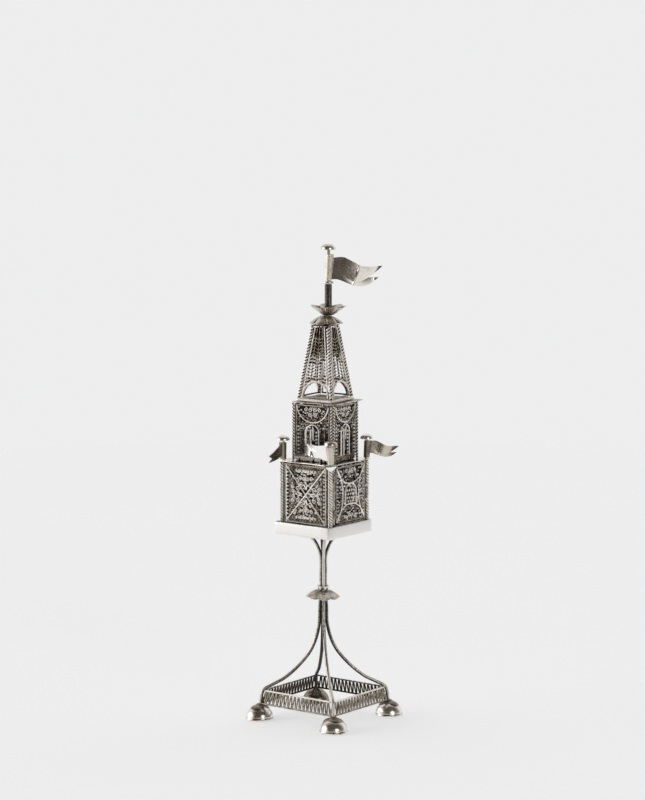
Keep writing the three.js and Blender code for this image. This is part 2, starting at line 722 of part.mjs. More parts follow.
function buildUpperBox() {
  buildPosts('upper_post', UPPER_HALF, UPPER_POST_RADIUS, UPPER_Z, UPPER_HEIGHT, addUpper);
  const half = UPPER_HALF - UPPER_POST_RADIUS - SEAT_GAP;
  const plane = UPPER_HALF + PANEL_DEPTH / 2;
  const top = UPPER_Z + UPPER_HEIGHT;
  const spring = UPPER_Z + UPPER_ARCH_SPRING;
  const strips = [
    bow(half - BORDER_WIDTH / 2, -UPPER_BOW_RISE, top - BORDER_WIDTH / 2, BOW_STEPS),
    [
      [-UPPER_ARCH_HALF, UPPER_Z + BORDER_WIDTH / 2],
      ...arc(0, spring, UPPER_ARCH_HALF, 180, 0, ROUND_STEPS),
      [UPPER_ARCH_HALF, UPPER_Z + BORDER_WIDTH / 2],
    ],
  ];
  const panels = panel(half, UPPER_Z, top, plane, strips);
  eachSide((side, yaw) => addUpper(`upper_panel_${side}`, panels, DARK_SILVER, { yaw }));
  const cover = slab(roundedSquare(UPPER_PLATE_HALF, TRAY_CORNER / 2), 0, UPPER_PLATE_THICKNESS);
  addUpper('upper_plate', cover, SILVER, { ...UPPER_PLATE_SHIFT, z: UPPER_PLATE_Z });
}

function buildSpire() {
  const sill = roundedSquare(SPIRE_SILL_HALF, TRAY_CORNER / 2);
  const open = SPIRE_SILL_HALF - SPIRE_SILL_WIDTH;
  sill.holes.push(rectangle(-open, -open, open, open));
  addUpper('spire_sill', slab(sill, 0, SPIRE_SILL_HEIGHT), SILVER, { z: SPIRE_SILL_Z });

  eachCorner(({ name, x, y }) => {
    const foot = new THREE.Vector3(x * SPIRE_LOW_HALF, y * SPIRE_LOW_HALF, SPIRE_Z + SEAT_GAP);
    const head = new THREE.Vector3(x * SPIRE_TOP_HALF, y * SPIRE_TOP_HALF, SPIRE_TOP_Z - SEAT_GAP);
    addUpper(`spire_post_${name}`, bar(foot, head, SPIRE_POST_RADIUS, 10), DARK_SILVER);
  });

  // Each side is a narrow trapezoid with an open arch at its foot, leaning in with the posts
  const lean = Math.atan2(SPIRE_LOW_HALF - SPIRE_TOP_HALF, SPIRE_HEIGHT);
  const slant = SPIRE_HEIGHT / Math.cos(lean) - 2 * SEAT_GAP;
  const side = SPIRE_POST_RADIUS + SPIRE_SIDE_GAP;
  const lowHalf = SPIRE_LOW_HALF - side;
  const topHalf = SPIRE_TOP_HALF - side;
  const outline = polygon([[-lowHalf, 0], [lowHalf, 0], [topHalf, slant], [-topHalf, slant]]);
  const ground = plate(outline, GROUND_THICKNESS / 2, GROUND_THICKNESS);
  const archHalf = lowHalf - SPIRE_ARCH_MARGIN;
  const openHalf = archHalf - SPIRE_ARCH_LIP;
  const edges = [
    [[BORDER_WIDTH / 2 - lowHalf, 0], [BORDER_WIDTH / 2 - topHalf, slant]],
    [[lowHalf - BORDER_WIDTH / 2, 0], [topHalf - BORDER_WIDTH / 2, slant]],
    [[0, SPIRE_ARCH_HEIGHT + ORNAMENT_WIDTH / 2], [0, slant]],
    bow(archHalf, SPIRE_ARCH_HEIGHT, 0, BOW_STEPS),
  ];
  const wires = edges.map((points) => {
    return plate(ribbon(points, ORNAMENT_WIDTH), SPIRE_PANEL_DEPTH / 2, SPIRE_PANEL_DEPTH);
  });
  const arch = polygon(bow(openHalf, SPIRE_ARCH_HEIGHT - SPIRE_ARCH_LIP, 0, BOW_STEPS).reverse());
  const whole = wasm.Manifold.union([ground, ...wires].map(solidOf));
  const inside = solidOf(plate(arch, SPIRE_PANEL_DEPTH, 2 * SPIRE_PANEL_DEPTH));
  const trimmed = whole.intersect(solidOf(plate(outline, SPIRE_PANEL_DEPTH, 2 * SPIRE_PANEL_DEPTH)));
  const face = geometryOf(trimmed.subtract(inside));
  face.rotateX(-lean);
  face.translate(0, -SPIRE_LOW_HALF, SPIRE_Z + SEAT_GAP);
  eachSide((name, yaw) => addUpper(`spire_panel_${name}`, face, DARK_SILVER, { yaw }));
}

function buildTop() {
  // The crown plate closes the spire, and its peg holds the lower cup
  const pegTop = LOW_CUP_Z + LOW_CUP_HEIGHT - CUP_WALL - SEAT_GAP;
  const peg = turned(rodProfile(CROWN_PEG_RADIUS, CROWN_Z, pegTop), 12);
  peg.translate(CUP_SHIFT.x, CUP_SHIFT.y, 0);
  const cover = slab(roundedSquare(CROWN_HALF, CROWN_CORNER), CROWN_Z, CROWN_THICKNESS);
  cover.rotateZ(THREE.MathUtils.degToRad(UPPER_TURN));
  cover.translate(UPPER_SHIFT.x, UPPER_SHIFT.y, 0);
  add('spire_crown', joined(cover, peg), SILVER);
  const lowCup = petalCup(0, LOW_CUP_RADIUS, LOW_CUP_HEIGHT - CUP_WALL, CUP_WALL, CUP_PETALS, true);
  add('cup_lower', lowCup, SILVER, { ...CUP_SHIFT, z: LOW_CUP_Z, yaw: LOW_CUP_YAW });
  const bore = POLE_RADIUS + SEAT_GAP;
  const highCup = petalCup(bore, HIGH_CUP_RADIUS, HIGH_CUP_HEIGHT - CUP_WALL, CUP_WALL, CUP_PETALS, false);
  add('cup_upper', highCup, SILVER, { ...POLE_SHIFT, z: HIGH_CUP_Z, yaw: HIGH_CUP_YAW });
  add('pole', turned(rodProfile(POLE_RADIUS, HIGH_CUP_Z, POLE_TOP_Z), 16), SILVER, POLE_SHIFT);
  const rodTop = TOP_CAP_Z + CAP_HEIGHT * CAP_HOLLOW - SEAT_GAP;
  const rod = turned(
    [
      [0, WASHER_Z],
      [WASHER_RADIUS, WASHER_Z],
      [WASHER_RADIUS, WASHER_TOP],
      [ROD_RADIUS, WASHER_TOP],
      [ROD_RADIUS, rodTop],
      [0, rodTop],
    ],
    16,
  );
  add('pennant_rod', rod, SILVER, POLE_SHIFT);
  const cap = mushroom(CAP_RADIUS, CAP_HEIGHT);
  add('top_cap', turned(cap, 16), SILVER, { ...POLE_SHIFT, z: TOP_CAP_Z });
  const flag = pennant({
    length: PENNANT_LENGTH,
    height: PENNANT_HEIGHT,
    lift: PENNANT_LIFT,
    wave: PENNANT_WAVE,
    post: ROD_RADIUS,
    sleeve: PENNANT_SLEEVE,
  });
  add('top_pennant', flag, SILVER, { ...POLE_SHIFT, z: PENNANT_Z, yaw: PENNANT_YAW });
}

function buildCornerPennants() {
  const stemTop = SMALL_POST_HEIGHT - SMALL_CAP_HEIGHT;
  const crown = mushroom(SMALL_CAP_RADIUS, SMALL_CAP_HEIGHT).slice(1);
  const profile = [[0, 0], [SMALL_POST_RADIUS, 0], [SMALL_POST_RADIUS, stemTop]];
  crown.forEach(([r, z]) => profile.push([r, z + stemTop]));
  const post = turned(profile, 14);
  const flag = pennant({
    length: SMALL_LENGTH,
    height: SMALL_HEIGHT,
    lift: SMALL_LIFT,
    wave: SMALL_WAVE,
    post: SMALL_POST_RADIUS,
    sleeve: SMALL_SLEEVE,
  });
  eachCorner(({ name, x, y }) => {
    const place = {
      x: x * SMALL_POST_AT + SMALL_POST_SHIFT.x,
      y: y * SMALL_POST_AT + SMALL_POST_SHIFT.y,
      z: LOWER_PLATE_TOP + SEAT_GAP,
    };
    add(`small_post_${name}`, post, SILVER, place);
    add(`small_pennant_${name}`, flag, SILVER, { ...place, z: place.z + SEAT_GAP, yaw: SMALL_YAWS[name] });
  });
}

buildBase();
buildStem();
buildTray();
buildLowerBox();
buildUpperBox();
buildSpire();
buildTop();
buildCornerPennants();

export default tower;
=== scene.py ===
"""Looks of the silver filigree spice tower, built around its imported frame.

Shapes are gathered in millimetres, +Z up, and become metres when a piece is made. The front is
-Y and the door is on the right, +X. An ornament in a wall is drawn in (u, v, w): u to the right
as seen from outside, v up and w out of the wall.
"""
import math

import bpy
import numpy as np
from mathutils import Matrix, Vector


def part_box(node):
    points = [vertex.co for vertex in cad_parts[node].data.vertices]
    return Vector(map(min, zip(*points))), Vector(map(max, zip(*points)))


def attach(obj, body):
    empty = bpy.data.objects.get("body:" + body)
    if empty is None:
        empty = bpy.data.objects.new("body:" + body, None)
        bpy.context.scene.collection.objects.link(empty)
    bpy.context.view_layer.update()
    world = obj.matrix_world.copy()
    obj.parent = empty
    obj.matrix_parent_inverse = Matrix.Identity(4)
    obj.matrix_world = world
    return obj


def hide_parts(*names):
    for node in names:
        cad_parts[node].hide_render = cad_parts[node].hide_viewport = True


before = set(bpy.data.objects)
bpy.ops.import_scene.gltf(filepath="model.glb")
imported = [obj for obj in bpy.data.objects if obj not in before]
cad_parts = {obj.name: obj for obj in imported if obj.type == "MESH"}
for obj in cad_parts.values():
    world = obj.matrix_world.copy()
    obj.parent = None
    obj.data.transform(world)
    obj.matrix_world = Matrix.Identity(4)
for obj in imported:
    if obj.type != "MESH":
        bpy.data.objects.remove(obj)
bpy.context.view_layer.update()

MM = 0.001

# Camera of the photograph, for an image 645 pixels wide: metres, degrees, pixels and, for the sensor,
# millimetres
AZIMUTH = 37.3
CAMERA_DISTANCE = 1.4702
CAMERA_HEIGHT = 0.3549
CAMERA_PITCH = 7.486
CAMERA_SIDESTEP = -0.001
SENSOR_WIDTH = 36.0
FOCAL_PIXELS = 2965
IMAGE_WIDTH = 645

# Studio: a round floor, and the plain colour that the camera sees behind it
FLOOR_RADIUS = 0.95
FLOOR_ALBEDO = 0.82
FLOOR_MOTTLE = 0.004
FLOOR_GLOW = (0.43, 0.438, 0.443)
BACKDROP = (0.853, 0.853, 0.86)
ROOM = (0.085, 0.07, 0.06)
# Soft lights: degrees to the right of the camera, degrees up, inner and outer half angle, radiance
SOFT_LIGHTS = [
    (31, 17, 7, 19, (2.1, 2.1, 2.08)),
    (-88, 16, 10, 30, (1.3, 1.31, 1.33)),
    (100, 12, 16, 42, (0.05, 0.05, 0.053)),
    (180, 8, 55, 94, (0.75, 0.76, 0.78)),
    (-88, -8, 30, 48, (0.56, 0.56, 0.56)),
    (92, -8, 30, 48, (0.09, 0.09, 0.093)),
]

# Silver: the colours of its patina, which also serve as painted shade, the grains and streaks in a metre and
# the relief in metres
PATINA_AND_SHADE = (0.034, 0.024, 0.015)
WIRE_PATINA_AND_SHADE = (0.05, 0.047, 0.04)
GRAIN_SCALE = 6000
STREAK_SCALE = 1400
RELIEF_DEPTH = 0.0001

# Base
FOOT_RADIUS = 7.2
FOOT_HEIGHT = 6.8
FOOT_LIP = 0.8
BASE_HALF = 23.4
RAIL_LOW = (23.2, 7.7)
RAIL_TOP = (22.1, 14.3)
RAIL_RADIUS = 0.46
GALLERY_PERIODS = 18
GALLERY_WIRE = (0.7, (-0.25, 0.3))

# Stem: half spacings and heights, the stretches between them as shares, and painted light and shade at some
# heights, as factors on the wear
WIRE_RADIUS = 0.87
BUNDLE = [(1.3, 50.0), (1.25, 56.0), (1.0, 61.0), (0.82, 66.5), (0.8, 76.0), (0.8, 82.0)]
BUNDLE_BORE = 2.35
FLARE = (5.2, 93.5)
LEG_CURVE = [(0.83, 0.087), (0.647, 0.165), (0.477, 0.272), (0.317, 0.401), (0.18, 0.541)]
LEG_CURVE += [(0.086, 0.692), (0.029, 0.846)]
FLARE_CURVE = [(0.012, 0), (0.208, 0.4), (0.543, 0.745), (1, 1)]
STEM_LIGHT_AND_SHADE = ([12, 32, 43, 60, 66], [1.6, 1.45, 0.74, 0.72, 1.15])
KNOP_RADIUS = 8.6
KNOP_TILT = 3.0
FERRULE_RADIUS = 3.2
TRAY_SHIFT = (-0.5, -0.4)
TRAY_HALF = 17.9

# Boxes and spire: half spacings of the corner wires, half widths of the plates, pitches of the twists,
# the gap between a wall and its corner wires, and how far its rim and its ornament keep from its edge
LOWER_HALF = 15.2
LOWER_POST_RADIUS = 1.2
LOWER_PLATE_HALF = 16.7
UPPER_HALF = 11.51
UPPER_TURN = 5.0
UPPER_SHIFT = (0.3, 0.2)
UPPER_PLATE_HALF = 13.01
UPPER_PLATE_SHIFT = (0.9, 0.65)
UPPER_POST_RADIUS = 1.15
UPPER_BAND = 2.8
SPIRE_SILL_HALF = 10.61
SPIRE_LOW_HALF = 9.51
SPIRE_TOP_HALF = 4.55
SPIRE_POST_RADIUS = 1.0
LOWER_TWIST = 4.4
UPPER_TWIST = 3.1
WALL_GAP = 0.3
RIM_INSET = 0.45
FIELD_INSET = 0.9
HINGE_PIN_RADIUS = 0.55
PULL_RADIUS = 0.45

# Top
CROWN_HALF = 5.45
CUP_SHIFT = (0.7, 0.5)
LOWER_CUP_RADIUS = 8.3
UPPER_CUP_RADIUS = 8.9
POLE_SHIFT = (1.5, 1.15)
POLE_RADIUS = 1.8
# Where the pole's seam and its painted highlight run, in degrees round the pole.
SEAM_AND_HIGHLIGHT_TURN = 345
ROD_RADIUS = 1.05
CAP_RADIUS = 3.8
SMALL_CAP_RADIUS = 3.35
SMALL_CAP_HEIGHT = 2.4
PENNANT_LENGTH = 27.0
PENNANT_HEIGHT = 11.8
PENNANT_YAW = 37
SMALL_LENGTH = 16.3
SMALL_HEIGHT = 6.6
SMALL_YAWS = {"front_right": 184, "back_right": 37, "back_left": 37, "front_left": 284}

OUTWARD = (0.0, 0.0, 1.0)
HONEYCOMB = 0.866
SIDES = ["front", "right", "back", "left"]
CORNERS = {"front_right": (1, -1), "back_right": (1, 1), "back_left": (-1, 1), "front_left": (-1, -1)}
FILIGREE = ["fine", "main", "rim", "grain"]
LOOKS = {}


# Curves, as arrays of points; a closed one ends where it starts


def turn2(angle):
    """A turn for points that are written as rows."""
    c, s = math.cos(math.radians(angle)), math.sin(math.radians(angle))
    return np.array([[c, s], [-s, c]])


def unit(vectors):
    return vectors / np.linalg.norm(vectors, axis=-1, keepdims=True)


def line(start, end, step=2.5):
    start, end = np.array(start, float), np.array(end, float)
    count = max(2, int(np.linalg.norm(end - start) / step) + 2)
    return start + (end - start) * np.linspace(0, 1, count)[:, None]


def arc(centre, radius, start, end, count=12):
    angle = np.radians(np.linspace(start, end, count))
    return np.array(centre) + radius * np.column_stack([np.cos(angle), np.sin(angle)])


def ring(centre, radius):
    return arc(centre, radius, 0, 360, 11)


def bow(half, rise, v, count=24):
    """An arc over (-half, v) and (half, v) that rises, or sags where rise is negative."""
    radius = (half * half + rise * rise) / (2 * abs(rise))
    sweep = math.degrees(math.asin(min(half / radius, 1)))
    if abs(rise) > half:
        sweep = 180 - sweep
    up = 1 if rise > 0 else -1
    return arc((0, v + rise - up * radius), radius, up * (90 + sweep), up * (90 - sweep), count)


def arched(half, foot, spring):
    """The outline of an arched window, from its left foot over its top to its right foot."""
    left, right = line((-half, foot), (-half, spring)), line((half, spring), (half, foot))
    return np.vstack([left, arc((0, spring), half, 180, 0, 14)[1:], right[1:]])


def through(points, per=6):
    """A smooth curve through a few points."""
    points = np.array(points, float)
    padded = np.vstack([2 * points[0] - points[1], points, 2 * points[-1] - points[-2]])
    share = np.linspace(0, 1, per, endpoint=False)[:, None]
    stretches = []
    for a, b, c, d in zip(padded, padded[1:], padded[2:], padded[3:]):
        bend = (3 * b - a - 3 * c + d) * share ** 3 + (2 * a - 5 * b + 4 * c - d) * share ** 2
        stretches.append((bend + (c - a) * share + 2 * b) / 2)
    return np.vstack(stretches + [points[-1:]])


def spiral(centre, radius, start, turns, inner=0.2, per_turn=11):
    """A curl that winds in from the given radius; a negative number of turns winds clockwise."""
    count = max(5, int(abs(turns) * per_turn) + 1)
    share = np.linspace(0, 1, count)
    angle = math.radians(start) + 2 * math.pi * turns * share
    reach = radius * (1 - (1 - inner) * share)
    return np.array(centre) + reach[:, None] * np.column_stack([np.cos(angle), np.sin(angle)])


def c_scroll(centre, half, radius, bulge):
    """An arc with both ends curled in."""
    left = spiral((-half, 0), radius, 90, 1.15)[::-1]
    right = spiral((half, 0), radius, 90, -1.15)
    return np.array(centre) + np.vstack([left, [(0, radius + bulge)], right])


def spots(start, end, pitch):
    """Evenly spaced places on a line, each in the middle of its own stretch."""
    start, end = np.array(start, float), np.array(end, float)
    count = max(1, round(np.linalg.norm(end - start) / pitch))
    return [start + (end - start) * (i + 0.5) / count for i in range(count)]


def staggered(low, high, radius, pitch, margin):
    """The middles of circles packed in a box of (u, v), row by row; pitch and margin are in radii."""
    step = radius * pitch
    rows = np.arange(low[1] + radius, high[1] - radius * margin, step * HONEYCOMB)
    for row, v in enumerate(rows):
        first = low[0] + radius * (1 if row % 2 else 1 + pitch / 2)
        for u in np.arange(first, high[0] - radius * margin, step):
            yield u, v


def zigzag(low, high, left, right, pitch):
    """A wire that runs to and fro between two upright edges."""
    heights = np.linspace(low, high, max(2, int((high - low) / pitch * 2)) + 1)
    return np.array([((left, right)[i % 2], v) for i, v in enumerate(heights)])


def rectangle(left, low, right, high, inset):
    """The outline of a rectangle, inset from the edges of a box of (u, v)."""
    left, low, right, high = left + inset, low + inset, right - inset, high - inset
    corners = [(left, low), (right, low), (right, high), (left, high), (left, low)]
    return np.vstack([line(a, b, 4)[:-1] for a, b in zip(corners, corners[1:])] + [[(left, low)]])


def rounded_outline(half, corner):
    """The points of a square with round corners, counter-clockwise."""
    corner = min(max(corner, 0.05), half * 0.9)
    points = []
    for i in range(4):
        bend = arc((half - corner, half - corner), corner, 0, 90, 7)
        run = np.linspace(bend[-1], (corner - half, half), 16)[1:-1]
        points.append(np.vstack([bend, run]) @ turn2(90 * i))
    return np.vstack(points)


# Sections of wires: points in (side, out), counter-clockwise, each with its wear


def round_section(radius, sides=8, lift=0.0):
    angle = np.arange(sides) * 2 * math.pi / sides
    points = radius * np.column_stack([np.cos(angle), np.sin(angle)])
    return points + (0, lift), 0.5 + 0.5 * np.sin(angle)


def flat_section(width, depth):
    """A flat wire on edge, with its outer edge rounded off."""
    low, high = depth
    half, soft = width / 2, width * 0.3
    points = [(-half, low), (half, low), (half, high - soft), (half - soft, high), (soft - half, high)]
    return np.array(points + [(-half, high - soft)]), np.array([0, 0, 0.6, 1, 1, 0.6])


def square_section(width, depth):
    low, high = depth
    half = width / 2
    return np.array([(-half, low), (half, low), (half, high), (-half, high)]), np.zeros(4)


# Kinds of wire in a wall: their section and the number of their material
WIRES = {
    # The back wire has no worn side: a dark wire behind the others, painted shade in the gaps.
    "back": (square_section(0.34, (-0.5, -0.2)), 0),
    "fine": (flat_section(0.32, (-0.25, 0.32)), 0),
    "thin": (round_section(0.22, 6, 0.2), 1),
    "main": (round_section(0.33, 8, 0.32), 1),
    "strip": (flat_section(0.5, (-0.9, 0.45)), 1),
    "rim": (round_section(0.42, 8), 2),
}


# Places, as matrices


def spin(angle):
    c, s = math.cos(math.radians(angle)), math.sin(math.radians(angle))
    return np.array([[c, -s, 0, 0], [s, c, 0, 0], [0, 0, 1, 0], [0, 0, 0, 1.0]])


def moved(x, y, z):
    place = np.eye(4)
    place[:3, 3] = (x, y, z)
    return place


def placed(points, place):
    return points @ place[:3, :3].T + place[:3, 3]


def wall_place(side, low_half, top_half=None, low_z=0.0, top_z=1.0):
    """From (u, v, w) to the tower; a wall that leans has its foot on v = 0."""
    lean = math.atan2(low_half - (low_half if top_half is None else top_half), top_z - low_z)
    c, s = math.cos(lean), math.sin(lean)
    front = np.array([[1, 0, 0, 0], [0, s, -c, -low_half], [0, c, s, low_z], [0, 0, 0, 1.0]])
    return spin(90 * side) @ front


def upper_place():
    """From the middle of the upper box, which is turned and shifted a little, to the tower."""
    return moved(*UPPER_SHIFT, 0) @ spin(UPPER_TURN)


# Where the nodes of the frame are, in millimetres


def box_of(node):
    """The lowest and the highest corner of a node."""
    return [[value / MM for value in corner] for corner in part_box(node)]


def height_of(node):
    low, high = box_of(node)
    return low[2], high[2]


def middle_of(node):
    """The middle of a node, seen from above."""
    low, high = box_of(node)
    return (low[0] + high[0]) / 2, (low[1] + high[1]) / 2


# Meshes


def quads(rows, columns, round_rows=False, round_columns=True):
    """Faces between the neighbours in a grid of numbered points."""
    i = np.arange(rows if round_rows else rows - 1)[:, None] * columns
    above = (i + columns) % (rows * columns)
    j = np.arange(columns if round_columns else columns - 1)[None, :]
    k = (j + 1) % columns
    return np.stack([i + j, i + k, above + k, above + j], axis=-1).reshape(-1, 4)


class Piece:
    """The mesh of one piece, gathered in millimetres."""

    slot_name = "polished_silver"

    def __init__(self, slot_name=None):
        self.slot_name = slot_name or self.slot_name
        self.points, self.wear_and_light = [], []
        self.corners, self.sizes, self.slots = [], [], []
        self.count = 0

    def add(self, points, faces, slot=0, wear_and_light=1.0, place=None):
        points = np.asarray(points, float).reshape(-1, 3)
        self.points.append(points if place is None else placed(points, place))
        self.wear_and_light.append(np.broadcast_to(np.ravel(wear_and_light), len(points)))
        for group in faces:
            self.corners.append((group + self.count).ravel())
            self.sizes.append(np.full(len(group), group.shape[1]))
            self.slots.append(np.full(len(group), slot))
        self.count += len(points)

    def sweep(self, path, outward, section, closed=False, slot=0, place=None):
        """Carries a section along a path, with its second axis kept near outward."""
        path = np.asarray(path, float)
        if closed:
            along = np.roll(path, -1, axis=0) - np.roll(path, 1, axis=0)
        else:
            along = np.gradient(path, axis=0)
        along = unit(along)
        side = unit(np.cross(along, outward))
        out = np.cross(side, along)
        shape, wear_and_light = section
        rings = path[:, None] + side[:, None] * shape[None, :, :1] + out[:, None] * shape[None, :, 1:]
        count, sides = len(path), len(shape)
        faces = [quads(count, sides, closed)[:, [0, 3, 2, 1]]]
        if not closed:
            ends = np.arange(sides)
            faces += [ends[None], ends[None, ::-1] + (count - 1) * sides]
        self.add(rings, faces, slot, np.tile(wear_and_light, count), place)

    def loft(self, rings, slot=0, wear_and_light=1.0, capped=True, place=None):
        """Joins closed loops of points, counter-clockwise from above, whose outer side goes up."""
        rings = np.asarray(rings, float)
        count, sides = rings.shape[:2]
        faces = [quads(count, sides)]
        if capped:
            ends = np.arange(sides)
            faces += [ends[None, ::-1], ends[None] + (count - 1) * sides]
        if np.ndim(wear_and_light) == 1:
            wear_and_light = np.repeat(wear_and_light, sides)
        self.add(rings, faces, slot, wear_and_light, place)

    def lathe(self, profile, segments=48, centre=(0, 0, 0), slot=0, wear_and_light=1.0, shape=None, place=None):
        """A turned body from [radius, height] pairs, its outer side going up."""
        profile = np.array(profile, float)
        angle = (np.arange(segments) * 2 * math.pi / segments)[None, :]
        radius = np.repeat(profile[:, :1], segments, axis=1)
        height = np.repeat(profile[:, 1:], segments, axis=1)
        if shape is not None:
            radius, height = shape(radius, height, angle)
        points = np.stack([radius * np.cos(angle), radius * np.sin(angle), height], axis=-1)
        whole = not np.allclose(profile[0], profile[-1])
        self.loft(points + np.array(centre), slot, wear_and_light, whole, place)

    def shell(self, grid, thickness, slot=0, wear_and_light=1.0, wrap=False, place=None):
        """A sheet of metal: a grid of points given a thickness across it."""
        rows, columns = grid.shape[:2]
        if wrap:
            across = np.roll(grid, -1, axis=1) - np.roll(grid, 1, axis=1)
        else:
            across = np.gradient(grid, axis=1)
        normal = unit(np.cross(across, np.gradient(grid, axis=0)) + 1e-12)
        both = np.concatenate([grid + normal * thickness / 2, grid - normal * thickness / 2])
        top, flat = quads(rows, columns, round_columns=wrap), rows * columns
        faces = [top, top[:, ::-1] + flat]
        edges = [np.arange(columns), flat - 1 - np.arange(columns)]
        if wrap:
            edges = [np.append(edge, edge[0]) for edge in edges]
        else:
            edges += [np.arange(rows)[::-1] * columns, np.arange(rows) * columns + columns - 1]
        for edge in edges:
            a, b = edge[:-1], edge[1:]
            faces.append(np.stack([a, a + flat, b + flat, b], axis=-1))
        worn = np.tile(np.broadcast_to(wear_and_light, (rows, columns)).ravel(), 2)
        self.add(both, faces, slot, worn, place)

    def carry(self, place):
        """Moves all that has been gathered so far."""
        self.points = [placed(points, place) for points in self.points]

    def make(self, name, node, looks, crease=50, body="tower"):
        """Makes the object, which rides on its body and stands for its node."""
        mesh = bpy.data.meshes.new(name)
        points = (np.concatenate(self.points) * MM).astype(np.float32)
        corners, sizes = np.concatenate(self.corners), np.concatenate(self.sizes)
        mesh.vertices.add(len(points))
        mesh.vertices.foreach_set("co", points.ravel())
        mesh.loops.add(len(corners))
        mesh.loops.foreach_set("vertex_index", corners.astype(np.int32))
        mesh.polygons.add(len(sizes))
        mesh.polygons.foreach_set("loop_start", (np.cumsum(sizes) - sizes).astype(np.int32))
        mesh.polygons.foreach_set("material_index", np.concatenate(self.slots).astype(np.int32))
        mesh.update(calc_edges=True)
        # The wear attribute holds wear, with patina in the hollows, and also painted light and shade: lighter
        # stem legs, darker wires below the knop, the dark ground behind the filigree, the dark floor in the
        # tray and a light strip on the pole.
        wear_and_light = mesh.attributes.new("wear_and_light", "FLOAT", "POINT")
        wear_and_light.data.foreach_set("value", np.concatenate(self.wear_and_light).astype(np.float32))
        mesh.polygons.foreach_set("use_smooth", np.ones(len(sizes), bool))
        mesh.set_sharp_from_angle(angle=math.radians(crease))
        for look in looks:
            mesh.materials.append(LOOKS[look])
        piece = bpy.data.objects.new(name, mesh)
        bpy.context.scene.collection.objects.link(piece)
        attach(piece, body)
        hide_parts(node)


class Wall(Piece):
    """A flat ornament of wires. What is drawn is kept in mind, so that curls can fill what is left."""

    slot_name = "filigree_silver"

    def __init__(self, place):
        super().__init__()
        self.place = place
        self.drawn = []

    def lay(self, path, section, closed=False, slot=0):
        """A wire along a path of (u, v) that isn't kept in mind."""
        flat = np.column_stack([path, np.zeros(len(path))])
        self.sweep(flat, OUTWARD, section, closed, slot, self.place)

    def draw(self, kind, *paths):
        section, slot = WIRES[kind]
        for path in paths:
            self.drawn.append(path)
            closed = len(path) > 3 and np.allclose(path[0], path[-1])
            self.lay(path[:-1] if closed else path, section, closed, slot)

    def bead(self, spot, radius):
        """One round grain."""
        quarter = np.linspace(0, math.pi / 2, 4)
        dome = [(max(radius * math.cos(a), 0.02), 0.1 + radius * math.sin(a)) for a in quarter]
        self.lathe([(radius, -0.25)] + dome, 10, (*spot, 0), 3, [0, 0.8, 1, 1, 1], place=self.place)
        self.drawn.append(ring(spot, radius))

    def beads(self, start, end, pitch, radius):
        for spot in spots(start, end, pitch):
            self.bead(spot, radius)

    def sprinkle(self, low, high, count, seed):
        """Single grains of different sizes, scattered over a field."""
        draw = np.random.default_rng(seed)
        for _ in range(count):
            self.bead(draw.uniform(low, high), draw.uniform(0.36, 0.62))

    def painted_shade_curl(self, spot, radius, start, turns):
        """A dark curl behind the others, painted shade in the gaps between them."""
        self.lay(spiral(spot, radius, start, turns, 0.25, 8), WIRES["back"][0])

    def painted_shade_layer(self, low, high, radius, seed):
        """A layer of dark curls behind the others: painted shade in the gaps of the ornament."""
        draw = np.random.default_rng(seed)
        for spot in staggered(low, high, radius, 1.9, 0.8):
            self.painted_shade_curl(spot, radius, draw.uniform(0, 360), 1.5 * draw.choice([-1, 1]))

    def fill(self, low, high, radius, seed, allowed=None, kind="fine", share=1.0):
        """Packs curls or grains in a share of the free spots of a box of (u, v)."""
        draw = np.random.default_rng(seed)
        blocked = np.vstack(self.drawn)
        for middle in staggered(low, high, radius, 1.94, 0.7):
            size = radius * draw.uniform(0.9, 1.06)
            spot = np.array(middle) + draw.uniform(-0.1, 0.1, 2) * radius
            sort, start, hand = draw.random(), draw.uniform(0, 360), draw.choice([-1, 1])
            if draw.random() > share or (allowed is not None and not allowed(*spot)):
                continue
            if np.hypot(*(blocked - spot).T).min() < size * 0.86:
                continue
            if kind == "grain":
                self.bead(spot, size * 0.66)
            elif sort < 0.7:
                self.draw(kind, spiral(spot, size * 0.95, start, 1.12 * hand, 0.4, 9))
            else:
                self.draw(kind, ring(spot, size * 0.76))

    def pack(self, low, high, layers):
        """Large grains, then curls, then small grains, each layer with its radius, seed and share."""
        for kind, (radius, seed, share) in zip(("grain", "fine", "grain"), layers):
            self.fill(low, high, radius, seed, None, kind, share)


# Materials


class Graph:
    """The nodes of a material or of the surroundings."""

    def __init__(self, owner):
        owner.use_nodes = True
        self.nodes, self.links = owner.node_tree.nodes, owner.node_tree.links
        self.place = self.node("ShaderNodeTexCoord")

    def node(self, kind, **inputs):
        """A new node with some of its inputs set; an underscore in a name stands for a space."""
        node = self.nodes.new(kind)
        for name, value in inputs.items():
            node.inputs[name.replace("_", " ")].default_value = value
        return node

    def noise(self, scale, detail=3.0, rough=0.55):
        node = self.node("ShaderNodeTexNoise", Scale=scale, Detail=detail, Roughness=rough)
        self.links.new(self.place.outputs["Object"], node.inputs["Vector"])
        return node.outputs["Fac"]

    def spread(self, source, low, high, to_low=0.0, to_high=1.0):
        """A smooth step from one range of values to another."""
        node = self.node("ShaderNodeMapRange", From_Min=low, From_Max=high, To_Min=to_low, To_Max=to_high)
        node.interpolation_type = "SMOOTHSTEP"
        self.links.new(source, node.inputs["Value"])
        return node.outputs["Result"]

    def added(self, first, second):
        node = self.node("ShaderNodeMath")
        node.operation = "ADD"
        self.links.new(first, node.inputs[0])
        self.links.new(second, node.inputs[1])
        return node.outputs[0]

    def mixed(self, share, first, second, blend="MIX"):
        """Blends two colours by a share, each a colour or a socket."""
        node = self.node("ShaderNodeMix")
        node.data_type = "RGBA"
        node.blend_type = blend
        self.links.new(share, node.inputs["Factor"])
        for socket, colour in ((node.inputs[6], first), (node.inputs[7], second)):
            if isinstance(colour, tuple):
                socket.default_value = (*colour, 1)
            else:
                self.links.new(colour, socket)
        return node.outputs[2]


